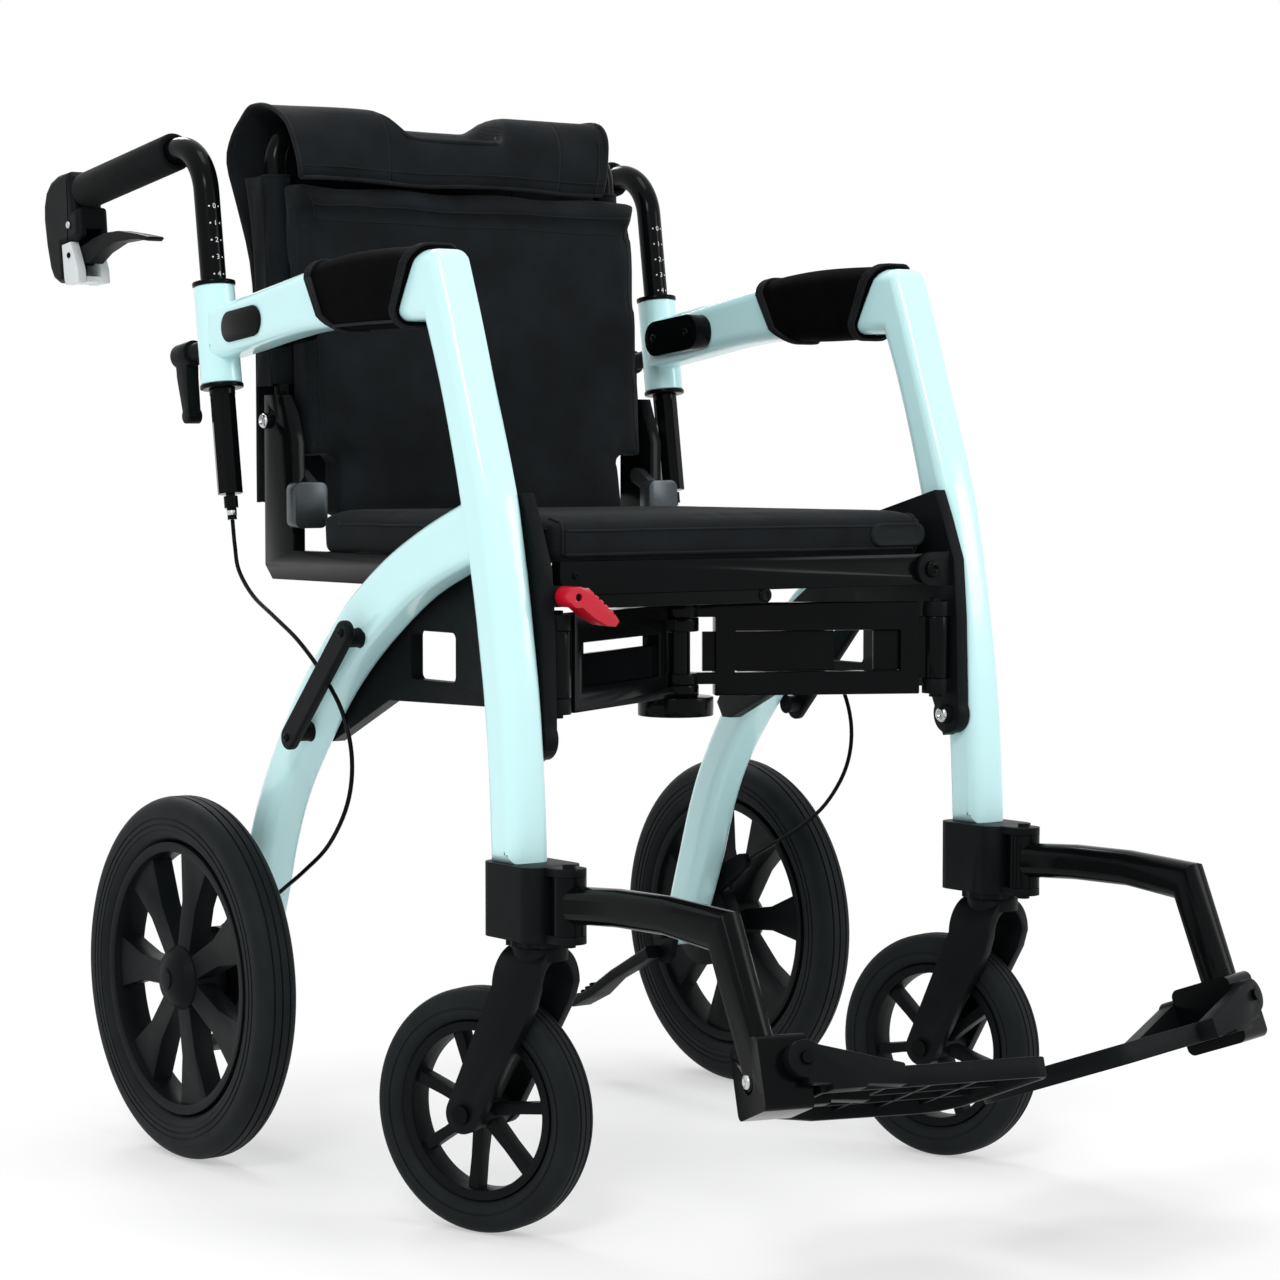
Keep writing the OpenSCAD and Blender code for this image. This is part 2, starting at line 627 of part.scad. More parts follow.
module front_rim(s) color("black") caster(s) translate([0, trail, front_r]) rotate([0, 90, 0]) difference() {
    union() {
        rotate_extrude($fn = 80) polygon([[front_rim_r - 7, -11], [front_rim_r, -12], [front_rim_r, 12],
            [front_rim_r - 7, 11], [front_rim_r - 8, 0]]);
        translate([0, 0, -front_hub_w / 2]) cylinder(r = 14, h = front_hub_w);
        spoke_ring(11, front_rim_r - 6, 10, 8, 9, 12, s == RIGHT ? 6 : 28);
    }
    translate([0, 0, -front_w]) cylinder(r = axle_r + run_gap, h = 2 * front_w);
}
module front_tyre(s) color("dimgray") caster(s) translate([0, trail, front_r]) rotate([0, 90, 0])
    rotate_extrude($fn = 80) tyre_profile(front_rim_r + run_gap, front_r, front_w, 10);

// Footrest arm: swing barrel, arched tube, mitred drop and the block that holds the footplate
arm_w = 22;
arm_d = 28;
tube_x = caster_x;
block_in = plate_pivot_x - 7.5;
block_out = plate_pivot_x + 29;
block_l = 52;
foot_drop = [-foot_fwd + 24, foot_z - 9];
module footrest_arm(s) color("black") side(s) {
    difference() {
        union() {
            translate([caster_x, swing_y, socket_low + 6 + face_gap])
                cylinder(r = swing_r, h = socket_high - socket_low - 12 - 2 * face_gap);
            skin([frame_ring(tube_x, [swing_y - 4, 257], 90, arm_w, arm_d, 9),
                frame_ring(tube_x, [-520, 261], 91, arm_w, arm_d, 9),
                frame_ring(tube_x, [-580, 262], 89, arm_w, arm_d, 9),
                frame_ring(tube_x, [-643, 258], 120, arm_w, arm_d * 1.22, 9),
                frame_ring(tube_x, foot_drop, 150, arm_w, arm_d, 9)]);
        }
        translate([caster_x, swing_y, 0]) cylinder(r = pin_r + run_gap, h = 400);
    }
    plate_frame() difference() {
        union() {
            slab(block_in, block_out) round_rect([face_gap, -24], [block_l - face_gap, 28], 6);
            translate([plate_pivot_x, -plate_ear - 3, plate_pivot_z]) rotate([-90, 0, 0])
                cylinder(r = 4, h = block_l + 2 * plate_ear + 3);
        }
        bar_x(block_out - 3, block_out + 1, [26, 0], 9);
    }
    plate_frame() bar_x(block_out - 3, block_out, [26, 0], 7);
}

// Footplate: tread with a wall round it and ribs underneath, hung on two ears
plate_in = foot_gap;
plate_out = plate_pivot_x - 13;
wall_t = 4;
module plate_outline() {
    polygon([[plate_out, 0], [plate_in + plate_chamfer, 0], [plate_in + 3, 4], [plate_in, 14],
        [plate_in + 12, foot_d - 22], [plate_in + 24, foot_d - 6], [plate_in + 40, foot_d],
        [plate_out - 50, foot_d - 6], [plate_out, foot_d - 40]]);
}
module footplate(s) color("black") side(s) plate_frame() {
    translate([0, 0, -wall_t]) linear_extrude(wall_t) plate_outline();
    translate([0, 0, -wall_h]) linear_extrude(wall_h) difference() {
        plate_outline();
        offset(delta = -wall_t) plate_outline();
    }
    translate([0, 0, -wall_h + 6]) linear_extrude(wall_h - 6) intersection() {
        plate_outline();
        union() {
            for (i = [1:4]) translate([plate_in + 36 * i, 0]) square([3, foot_d]);
            for (i = [1:3]) translate([0, 36 * i]) square([plate_out, 3]);
        }
    }
    for (y = [-plate_ear, block_l]) difference() {
        union() {
            translate([plate_pivot_x, y, plate_pivot_z]) rotate([-90, 0, 0])
                cylinder(r = plate_ear, h = plate_ear);
            translate([plate_out - 30, y, -wall_h]) cube([26, plate_ear, wall_h + 8]);
            translate([0, y, 0]) rotate([-90, 0, 0]) linear_extrude(plate_ear)
                polygon([[plate_out - 60, 0], [plate_out - 60, wall_h], [plate_pivot_x, wall_h - 6],
                    [plate_pivot_x, -plate_pivot_z - plate_ear], [plate_pivot_x - 10, -plate_pivot_z - 9]]);
        }
        translate([plate_pivot_x, y - 1, plate_pivot_z]) rotate([-90, 0, 0])
            cylinder(r = 4 + run_gap, h = plate_ear + 2);
    }
}

// Folding arms: each a pair of rails between the side's barrel and the middle post
module fold_arm(s) color("black") side(s) {
    translate([hinge_x, hinge_y, 0]) rotate([0, 0, 180 - arm_angle]) {
        low_in = arm_low + knuckle_h + face_gap;
        high_in = arm_high - knuckle_h - face_gap;
        difference() {
            union() {
                translate([0, 0, low_in]) cylinder(r = barrel_r, h = high_in - low_in);
                translate([0, -rail_w / 2 + 3, low_in]) cube([barrel_r + 8, rail_w - 6, high_in - low_in]);
            }
            translate([0, 0, low_in - 1]) cylinder(r = pin_r + run_gap, h = high_in - low_in + 2);
        }
        translate([barrel_r + 4, -rail_w / 2, arm_low]) cube([rail_w, rail_w, arm_high - arm_low]);
        rail_l = arm_l - rail_clear - barrel_r - 4;
        translate([barrel_r + 4, -rail_w / 2, arm_high - rail_upper_h]) cube([rail_l, rail_w, rail_upper_h]);
        translate([barrel_r + 4, -rail_w / 2, arm_low]) cube([rail_l, rail_w, rail_lower_h]);
        translate([arm_l - rail_clear - rail_w, -rail_w / 2, arm_low])
            cube([rail_w, rail_w, arm_high - arm_low]);
        if (s == RIGHT) translate([barrel_r + 10, -web_t / 2, arm_low + 2])
            cube([rail_l - 10, web_t, arm_high - arm_low - rail_upper_h - web_slot - 2]);
        for (z = [[arm_low, rail_lower_h], [arm_high - rail_upper_h, rail_upper_h]]) {
            h = z[1] / 2 - face_gap / 2;
            z0 = s == LEFT ? z[0] + z[1] - h : z[0];
            difference() {
                union() {
                    translate([arm_l, 0, z0]) cylinder(r = hub_r, h = h);
                    translate([arm_l - rail_clear - 6, -rail_w / 2, z0]) cube([rail_clear + 6, rail_w, h]);
                }
                translate([arm_l, 0, z0 - 1]) cylinder(r = hub_pin_r + run_gap, h = h + 2);
            }
        }
    }
}

// Post in the middle of the cross frame, with its foot
module hinge_post() color("black") translate([0, axle_y + post_y, 0]) {
    translate([0, 0, boss_low]) cylinder(r = hub_pin_r, h = arm_high - boss_low + 4);
    translate([0, 0, boss_low]) cylinder(r = boss_r, h = arm_low - face_gap - boss_low);
    translate([0, 0, arm_high + face_gap]) cylinder(r = hub_r - 2, h = 4);
}

// Rail under the front edge of the seat, hung on the left bracket
module seat_front_rail() color("black") translate([0, axle_y, 0]) difference() {
    x0 = -bracket_x + front_rail_gap;
    union() {
        translate([x0, -seat_fwd - 8 + face_gap, front_rail_z - front_rail_h / 2])
            cube([rail_pivot_x - x0, 12, front_rail_h]);
        translate([rail_pivot_x, -seat_fwd - 8 + face_gap, front_rail_z]) rotate([-90, 0, 0])
            cylinder(r = front_rail_h / 2, h = 12);
    }
    translate([rail_pivot_x, -seat_fwd - 20, front_rail_z]) rotate([-90, 0, 0])
        cylinder(r = pin_r + run_gap, h = 40);
}

// Red lever that frees the fold, on the right bracket
release_w = 20;
module release_lever() color("red") translate([0, axle_y + hinge_y - 12, 0]) rotate([90, 0, 0]) difference() {
    union() {
        translate(release_pivot) cylinder(r = 8, h = release_w);
        linear_extrude(release_w) polygon([[-199, 479], [-199, 485], [-194, 489], [-186, 489], [-174, 480],
            [-162, 470], [-157, 463], [-160, 459], [-168, 460], [-180, 466], [-192, 475]]);
    }
    translate([release_pivot[0], release_pivot[1], -1]) cylinder(r = 3 + run_gap, h = release_w + 2);
    for (i = [0:4]) translate([-181 + 4.6 * i, 484.2 - 3.75 * i, -1]) rotate([0, 0, -39])
        cube([2.2, 3, release_w + 2]);
}

// Soft parts: crowned seat cushion, back panel and the cover that hangs over the back
module cushion_ring(z, inset) {
    w = cushion_w / 2 - inset;
    d = (seat_fwd + seat_back) / 2 - inset;
    front_cut = 10;
    back_cut = 10;
    translate([0, (seat_back - seat_fwd) / 2, z])
        linear_extrude(0.2) polygon([[-w + front_cut, -d], [w - front_cut, -d], [w - 3, -d + 3],
            [w, -d + front_cut], [w, d - back_cut], [w - back_cut, d], [-w + back_cut, d],
            [-w, d - back_cut], [-w, -d + front_cut], [-w + 3, -d + 3]]);
}
module seat_cushion() color("black") translate([0, axle_y, 0]) hull() {
    low = seat_z - cushion_t;
    cushion_ring(low + face_gap, 5);
    cushion_ring(low + cushion_t * 0.45, 0);
    cushion_ring(low + cushion_t * 0.8, 6);
    cushion_ring(seat_z - 4, 26);
    cushion_ring(seat_z - 0.2, 90);
}
panel_low = 536;
panel_high = back_top - 62;
panel_t = 34;
panel_notch = [30, 584];
post_clear = 4;
module back_panel() color("black") difference() {
    translate([0, axle_y + 18, panel_low]) rotate([90 - cane_lean, 0, 0]) linear_extrude(panel_t) {
        h = panel_high - panel_low;
        cut = panel_notch[1] - panel_low;
        w = panel_w / 2;
        polygon([[-w + panel_notch[0], 0], [w - panel_notch[0], 0], [w - panel_notch[0], cut], [w, cut],
            [w, h - 6], [w - 6, h], [-w + 6, h], [-w, h - 6], [-w, cut], [-w + panel_notch[0], cut]]);
    }
    for (k = [-1, 1])
        translate([k * post_x - rail_t / 2 - post_clear, axle_y + post_front - post_clear, side_rail_low])
            cube([rail_t + 2 * post_clear, post_back - post_front + 2 * post_clear,
                post_top + post_clear - side_rail_low]);
}
cover_w = 372;
module back_cover() color("black") translate([0, axle_y, 0]) slab(-cover_w / 2, cover_w / 2) {
    lean = tan(cane_lean);
    foot = [cane_foot[0] + cane_r + 6, 548];
    ridge_r = 24;
    top = [foot[0] + (back_top - ridge_r - foot[1]) * lean + 8, back_top - ridge_r];
    mid = [top[0] - ridge_r + cover_t, back_top - ridge_r];
    front = [mid[0] - panel_t - 5.2, back_top - ridge_r];
    polygon([foot, foot + [cover_t, 0], top + [cover_t, 0.5], top + [0, 0.5]]);
    difference() {
        translate(mid) circle(ridge_r);
        translate(mid) circle(ridge_r - cover_t);
        translate(mid - [100, 0]) square([100, 100]);
        translate(mid - [100, 100]) square([200, 100]);
    }
    translate([front[0], back_top - cover_t]) square([mid[0] - front[0] + 1, cover_t]);
    difference() {
        translate(front) circle(ridge_r);
        translate(front) circle(ridge_r - cover_t);
        translate(front) square([100, 100]);
        translate(front - [100, 100]) square([200, 100]);
    }
    translate([front[0] - ridge_r, back_top - 68]) square([cover_t, 68 - ridge_r + 1]);
}

side_frame(RIGHT);  // side_frame_right
side_frame(LEFT);  // side_frame_left
armrest_pad(RIGHT);  // armrest_pad_right
armrest_pad(LEFT);  // armrest_pad_left
frame_plugs(RIGHT);  // frame_plugs_right
frame_plugs(LEFT);  // frame_plugs_left
side_bracket(RIGHT);  // side_bracket_right
side_bracket(LEFT);  // side_bracket_left
back_post(RIGHT);  // back_post_right
back_post(LEFT);  // back_post_left
back_latch(RIGHT);  // back_latch_right
back_latch(LEFT);  // back_latch_left
leg_guard(RIGHT);  // leg_guard_right
leg_guard(LEFT);  // leg_guard_left
leg_socket(RIGHT);  // leg_socket_right
leg_socket(LEFT);  // leg_socket_left
brake_unit(RIGHT);  // brake_unit_right
brake_unit(LEFT);  // brake_unit_left
tip_pedal(RIGHT);  // tip_pedal_right
tip_pedal(LEFT);  // tip_pedal_left
brake_cable(RIGHT);  // brake_cable_right
brake_cable(LEFT);  // brake_cable_left
handle_tube(RIGHT);  // handle_tube_right
handle_tube(LEFT);  // handle_tube_left
grip(RIGHT);  // grip_right
grip(LEFT);  // grip_left
brake_housing(RIGHT);  // brake_housing_right
brake_housing(LEFT);  // brake_housing_left
brake_cap(RIGHT);  // brake_cap_right
brake_cap(LEFT);  // brake_cap_left
brake_lever(RIGHT);  // brake_lever_right
brake_lever(LEFT);  // brake_lever_left
clamp_lever(RIGHT);  // clamp_lever_right
clamp_lever(LEFT);  // clamp_lever_left
rear_rim(RIGHT);  // rear_rim_right
rear_rim(LEFT);  // rear_rim_left
rear_tyre(RIGHT);  // rear_tyre_right
rear_tyre(LEFT);  // rear_tyre_left
caster_fork(RIGHT);  // caster_fork_right
caster_fork(LEFT);  // caster_fork_left
front_axle(RIGHT);  // front_axle_right
front_axle(LEFT);  // front_axle_left
front_rim(RIGHT);  // front_rim_right
front_rim(LEFT);  // front_rim_left
front_tyre(RIGHT);  // front_tyre_right
front_tyre(LEFT);  // front_tyre_left
footrest_arm(RIGHT);  // footrest_arm_right
footrest_arm(LEFT);  // footrest_arm_left
footplate(RIGHT);  // footplate_right
footplate(LEFT);  // footplate_left
fold_arm(RIGHT);  // fold_arm_right
fold_arm(LEFT);  // fold_arm_left
hinge_post();
seat_front_rail();
release_lever();
seat_cushion();
back_panel();
back_cover();
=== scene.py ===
"""Rollator transport chair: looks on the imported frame."""
from math import cos, exp, pi, radians, sin, tan

import bmesh
import bpy
import numpy as np
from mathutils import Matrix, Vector


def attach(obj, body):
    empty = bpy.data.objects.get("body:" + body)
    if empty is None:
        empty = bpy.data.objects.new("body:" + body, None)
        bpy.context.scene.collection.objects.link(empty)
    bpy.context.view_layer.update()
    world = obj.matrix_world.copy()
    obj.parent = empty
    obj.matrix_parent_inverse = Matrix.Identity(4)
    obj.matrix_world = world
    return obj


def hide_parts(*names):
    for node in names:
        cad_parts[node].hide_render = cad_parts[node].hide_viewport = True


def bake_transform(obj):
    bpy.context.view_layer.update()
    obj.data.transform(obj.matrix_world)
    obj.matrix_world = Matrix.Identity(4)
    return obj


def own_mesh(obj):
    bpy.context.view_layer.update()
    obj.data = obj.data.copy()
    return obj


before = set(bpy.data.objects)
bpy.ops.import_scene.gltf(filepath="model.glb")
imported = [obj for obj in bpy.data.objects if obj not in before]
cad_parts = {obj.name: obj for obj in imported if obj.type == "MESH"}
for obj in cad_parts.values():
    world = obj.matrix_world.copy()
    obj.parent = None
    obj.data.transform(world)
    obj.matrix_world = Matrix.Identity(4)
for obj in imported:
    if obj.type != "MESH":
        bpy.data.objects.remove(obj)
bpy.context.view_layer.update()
scene = bpy.context.scene
SIDES = (("right", -1), ("left", 1))
# Places in millimetres, with y measured from the rear axle, whose own place in the row frame is AXLE_Y
AXLE_Y, AXLE_Z = 209.54, 152
# Middle of a side frame's thickness
FRAME_X = 233.5
# Foot of a handle's sleeve, the stem's lean, and the grip's height up the stem
STEM_X, STEM_Y, STEM_Z = 236.5, 38, 649
STEM_TILT = radians(8.2)
GRIP_Z = 211
# Origin and turns of a footplate
PLATE_X, PLATE_Y, PLATE_Z = 218, -712, 168
PLATE_TOE, PLATE_PITCH = radians(16), radians(20)
# Hinge and length of the left folding arm
HINGE_X, HINGE_Y = 192.5, -390
ARM_LENGTH = 218
# Where the hood is parted for the fold
HOOD_CUT = 90


def at(x, y, z):
    """Row point in metres, from millimetres with y measured from the rear axle."""
    return Vector((x / 1000, (y + AXLE_Y) / 1000, z / 1000))


def on_stem(s, x, y, z):
    """Row point of the handle stem's own frame, whose z runs up the stem from the sleeve's foot."""
    c, n = cos(STEM_TILT), sin(STEM_TILT)
    return at(s * (STEM_X + x), STEM_Y + y * c + z * n, STEM_Z - y * n + z * c)


def on_plate(s, x, y, z):
    """Row point of a footplate's own frame."""
    c, n = cos(PLATE_PITCH), sin(PLATE_PITCH)
    x, y, z = x - PLATE_X, y * c + z * n, -y * n + z * c
    c, n = cos(PLATE_TOE), sin(PLATE_TOE)
    return at(s * (PLATE_X + x * c - y * n), PLATE_Y + x * n + y * c, PLATE_Z + z)


# Camera and light
camera = bpy.data.objects.new("camera", bpy.data.cameras.new("camera"))
camera.data.lens = 94.0
camera.data.sensor_width = 36.0
camera.location = (-1.664, -2.453 + AXLE_Y / 1000, 0.588)
camera.rotation_euler = (radians(86.85), 0, radians(-36.93))
scene.collection.objects.link(camera)
scene.camera = camera
scene.view_settings.view_transform = "Standard"


def area_light(name, place, target, size, power):
    """Square soft lamp that faces its target."""
    lamp = bpy.data.objects.new(name, bpy.data.lights.new(name, "AREA"))
    lamp.data.size = size
    lamp.data.energy = power
    lamp.location = place
    lamp.rotation_euler = (Vector(target) - Vector(place)).to_track_quat("-Z", "Y").to_euler()
    scene.collection.objects.link(lamp)


area_light("key", (-2.6, -2.4, 2.9), (0, 0, 0.4), 0.9, 46)
area_light("fill", (2.4, -2.6, 1.6), (0, 0, 0.4), 1.0, 17)
area_light("rim", (0.6, 2.8, 2.6), (0, 0, 0.5), 0.9, 34)
area_light("top", (0.0, -0.2, 3.4), (0, 0, 0.4), 1.2, 22)


def seen_plainly(nodes, links):
    """1 for rays from the camera, from a reflection or through glass, and 0 for light on the object."""
    path = nodes.new("ShaderNodeLightPath")
    value = path.outputs["Is Camera Ray"]
    for other in ("Is Glossy Ray", "Is Transmission Ray"):
        larger = nodes.new("ShaderNodeMath")
        larger.operation = "MAXIMUM"
        links.new(value, larger.inputs[0])
        links.new(path.outputs[other], larger.inputs[1])
        value = larger.outputs[0]
    return value


def background():
    """White to the camera, to reflections and through glass, and a softer grey as light."""
    world = bpy.data.worlds.new("studio")
    world.use_nodes = True
    nodes, links = world.node_tree.nodes, world.node_tree.links
    nodes.clear()
    ambient, plain = nodes.new("ShaderNodeBackground"), nodes.new("ShaderNodeBackground")
    ambient.inputs["Color"].default_value = (1, 1, 1, 1)
    ambient.inputs["Strength"].default_value = 0.72
    plain.inputs["Color"].default_value = (1, 1, 1, 1)
    plain.inputs["Strength"].default_value = 1.0
    mix, out = nodes.new("ShaderNodeMixShader"), nodes.new("ShaderNodeOutputWorld")
    links.new(seen_plainly(nodes, links), mix.inputs[0])
    links.new(ambient.outputs[0], mix.inputs[1])
    links.new(plain.outputs[0], mix.inputs[2])
    links.new(mix.outputs[0], out.inputs[0])
    scene.world = world


background()


# Materials
def material(name, color, rough, metallic=0.0, coat=0.0, sheen=0.0, grain=(700, 0.15), mottle=(18, 0.12),
             weave=None, rough_span=0.06, specular=0.1):
    """Shader with colour mottle, uneven roughness and a bump from grain and, for cloth, a weave."""
    made = bpy.data.materials.new(name)
    made.use_nodes = True
    nodes, links = made.node_tree.nodes, made.node_tree.links
    shader = nodes["Principled BSDF"]
    shader.inputs["Metallic"].default_value = metallic
    shader.inputs["Specular IOR Level"].default_value = specular
    shader.inputs["Coat Weight"].default_value = coat
    shader.inputs["Coat Roughness"].default_value = 0.06
    shader.inputs["Sheen Weight"].default_value = sheen
    shader.inputs["Sheen Roughness"].default_value = 0.5
    coords = nodes.new("ShaderNodeTexCoord")

    def noise(scale, detail):
        n = nodes.new("ShaderNodeTexNoise")
        n.inputs["Scale"].default_value = scale
        n.inputs["Detail"].default_value = detail
        links.new(coords.outputs["Object"], n.inputs["Vector"])
        return n

    cloud = noise(mottle[0], 4)
    ramp = nodes.new("ShaderNodeValToRGB")
    ramp.color_ramp.elements[0].position = 0.3
    ramp.color_ramp.elements[1].position = 0.7
    for k, f in enumerate((1 - mottle[1], 1 + mottle[1])):
        ramp.color_ramp.elements[k].color = (*[min(1.0, c * f) for c in color], 1)
    links.new(cloud.outputs["Fac"], ramp.inputs["Fac"])
    links.new(ramp.outputs["Color"], shader.inputs["Base Color"])
    span = nodes.new("ShaderNodeMapRange")
    span.inputs["To Min"].default_value = max(0.02, rough - rough_span)
    span.inputs["To Max"].default_value = min(1.0, rough + rough_span)
    links.new(noise(mottle[0] * 3, 3).outputs["Fac"], span.inputs["Value"])
    links.new(span.outputs["Result"], shader.inputs["Roughness"])
    height = noise(grain[0], 2).outputs["Fac"]
    if weave:
        threads = []
        for direction in ("X", "DIAGONAL"):
            wave = nodes.new("ShaderNodeTexWave")
            wave.bands_direction = direction
            wave.inputs["Scale"].default_value = weave
            wave.inputs["Distortion"].default_value = 0.6
            links.new(coords.outputs["Object"], wave.inputs["Vector"])
            threads.append(wave.outputs["Fac"])
        cross = nodes.new("ShaderNodeMath")
        cross.operation = "MAXIMUM"
        links.new(threads[0], cross.inputs[0])
        links.new(threads[1], cross.inputs[1])
        add = nodes.new("ShaderNodeMath")
        add.operation = "ADD"
        links.new(cross.outputs[0], add.inputs[0])
        links.new(height, add.inputs[1])
        height = add.outputs[0]
    bump = nodes.new("ShaderNodeBump")
    bump.inputs["Strength"].default_value = grain[1]
    bump.inputs["Distance"].default_value = 0.0006
    links.new(height, bump.inputs["Height"])
    links.new(bump.outputs["Normal"], shader.inputs["Normal"])
    return made


PAINT = material("frame_paint", (0.6, 0.915, 0.93), 0.2, coat=0.5, grain=(260, 0.03), mottle=(5, 0.015),
                 rough_span=0.03, specular=0.4)
SATIN = material("black_satin", (0.0022, 0.0028, 0.0031), 0.16, grain=(600, 0.04), mottle=(14, 0.2), specular=0.07)
MOULDED = material("moulded_plastic", (0.0044, 0.0057, 0.0064), 0.42, grain=(1300, 0.22), mottle=(22, 0.15),
                   specular=0.06)
GLOSSY = material("gloss_plastic", (0.002, 0.0025, 0.0028), 0.2, grain=(500, 0.04), mottle=(16, 0.15), specular=0.06)
RUBBER = material("tyre_rubber", (0.0088, 0.0112, 0.0124), 0.6, grain=(900, 0.25), mottle=(30, 0.2), specular=0.1)
FOAM = material("grip_foam", (0.0045, 0.0055, 0.006), 0.8, sheen=0.015, grain=(1500, 0.5), mottle=(60, 0.25),
                specular=0.08)
CANVAS = material("canvas", (0.0072, 0.0092, 0.0108), 0.74, sheen=0.035, grain=(800, 0.3), mottle=(26, 0.3), weave=200,
                  specular=0.07)
NEOPRENE = material("neoprene", (0.0012, 0.0013, 0.0014), 0.88, sheen=0.006, grain=(1800, 0.35), mottle=(50, 0.3),
                    specular=0.03)
BINDING = material("binding_tape", (0.0085, 0.0102, 0.0116), 0.66, sheen=0.03, grain=(900, 0.3), mottle=(60, 0.25),
                   weave=260, specular=0.08)
RED = material("red_plastic", (0.55, 0.006, 0.026), 0.3, coat=0.2, grain=(700, 0.08), mottle=(20, 0.12),
               specular=0.3)
PALE = material("pale_plastic", (0.68, 0.72, 0.73), 0.38, grain=(800, 0.1), mottle=(20, 0.06), specular=0.3)
PADDLE = material("paddle_grey", (0.06, 0.07, 0.075), 0.28, metallic=0.7, grain=(700, 0.06), mottle=(20, 0.15),
                  specular=0.3)
STEEL = material("bright_steel", (0.55, 0.57, 0.58), 0.22, metallic=1.0, grain=(400, 0.05), mottle=(60, 0.1),
                 specular=0.5)
MARK = material("print_white", (0.72, 0.76, 0.78), 0.5, grain=(900, 0.05), mottle=(90, 0.08), specular=0.2)


def floor_look():
    """Pale floor that takes the object's shadow near it and turns into the white background further out."""
    made = material("floor_paint", (0.93, 0.93, 0.93), 0.9, grain=(40, 0.02), mottle=(2, 0.01), specular=0.05)
    nodes, links = made.node_tree.nodes, made.node_tree.links
    place, far = nodes.new("ShaderNodeTexCoord"), nodes.new("ShaderNodeVectorMath")
    far.operation = "LENGTH"
    links.new(place.outputs["Object"], far.inputs[0])
    fade = nodes.new("ShaderNodeMapRange")
    fade.interpolation_type = "SMOOTHSTEP"
    fade.inputs["From Min"].default_value = 0.35
    fade.inputs["From Max"].default_value = 0.95
    fade.inputs["To Min"].default_value = 0.45
    links.new(far.outputs["Value"], fade.inputs["Value"])
    share = nodes.new("ShaderNodeMath")
    share.operation = "MULTIPLY"
    links.new(fade.outputs["Result"], share.inputs[0])
    links.new(seen_plainly(nodes, links), share.inputs[1])
    white, mix = nodes.new("ShaderNodeEmission"), nodes.new("ShaderNodeMixShader")
    white.inputs["Strength"].default_value = 1.0
    links.new(share.outputs[0], mix.inputs[0])
    links.new(nodes["Principled BSDF"].outputs[0], mix.inputs[1])
    links.new(white.outputs[0], mix.inputs[2])
    links.new(mix.outputs[0], nodes["Material Output"].inputs["Surface"])
    return made


FLOOR = floor_look()

NODE_LOOKS = {
    "side_frame": PAINT, "armrest_pad": NEOPRENE, "frame_plugs": GLOSSY, "side_bracket": MOULDED, "back_post": SATIN,
    "back_latch": PADDLE, "leg_guard": MOULDED, "leg_socket": MOULDED, "brake_unit": MOULDED, "tip_pedal": MOULDED,
    "brake_cable": GLOSSY, "handle_tube": SATIN, "grip": FOAM, "brake_housing": MOULDED, "brake_cap": PALE,
    "brake_lever": MOULDED, "clamp_lever": MOULDED, "rear_rim": MOULDED, "rear_tyre": RUBBER, "caster_fork": MOULDED,
    "front_axle": GLOSSY, "front_rim": MOULDED, "front_tyre": RUBBER, "footrest_arm": SATIN, "footplate": MOULDED,
    "fold_arm": SATIN, "hinge_post": SATIN, "seat_front_rail": SATIN, "release_lever": RED, "seat_cushion": CANVAS,
    "back_panel": CANVAS, "back_cover": CANVAS,
}
# Width of the rounded edge that each moulded or cut node shows, in millimetres
EDGES = {
    "side_bracket": 1.2, "back_post": 1.2, "back_latch": 2.0, "leg_socket": 2.0, "brake_unit": 1.0, "grip": 2.5,
    "brake_cap": 1.5, "brake_lever": 1.5, "clamp_lever": 1.5, "rear_rim": 2.0, "caster_fork": 2.0, "front_rim": 1.2,
    "footplate": 1.2, "fold_arm": 1.0, "hinge_post": 1.0, "seat_front_rail": 1.5, "release_lever": 1.0,
    "frame_plugs": 1.2,
}


def base_name(node):
    """A node's name without its side."""
    return node.rsplit("_", 1)[0] if node.endswith(("_left", "_right")) else node


def smooth_by_angle(limit):
    """Modifier group that shades smooth across every edge flatter than the limit."""
    group = bpy.data.node_groups.new("smooth_by_angle", "GeometryNodeTree")
    group.interface.new_socket("Geometry", in_out="INPUT", socket_type="NodeSocketGeometry")
    group.interface.new_socket("Geometry", in_out="OUTPUT", socket_type="NodeSocketGeometry")
    nodes, links = group.nodes, group.links
    start, end = nodes.new("NodeGroupInput"), nodes.new("NodeGroupOutput")
    faces, edges = nodes.new("GeometryNodeSetShadeSmooth"), nodes.new("GeometryNodeSetShadeSmooth")
    faces.domain, edges.domain = "FACE", "EDGE"
    edges.inputs["Shade Smooth"].default_value = False
    angle, sharp = nodes.new("GeometryNodeInputMeshEdgeAngle"), nodes.new("FunctionNodeCompare")
    sharp.data_type, sharp.operation = "FLOAT", "GREATER_THAN"
    sharp.inputs[1].default_value = limit
    links.new(start.outputs[0], faces.inputs["Geometry"])
    links.new(angle.outputs["Unsigned Angle"], sharp.inputs[0])
    links.new(faces.outputs[0], edges.inputs["Geometry"])
    links.new(sharp.outputs[0], edges.inputs["Selection"])
    links.new(edges.outputs[0], end.inputs[0])
    return group


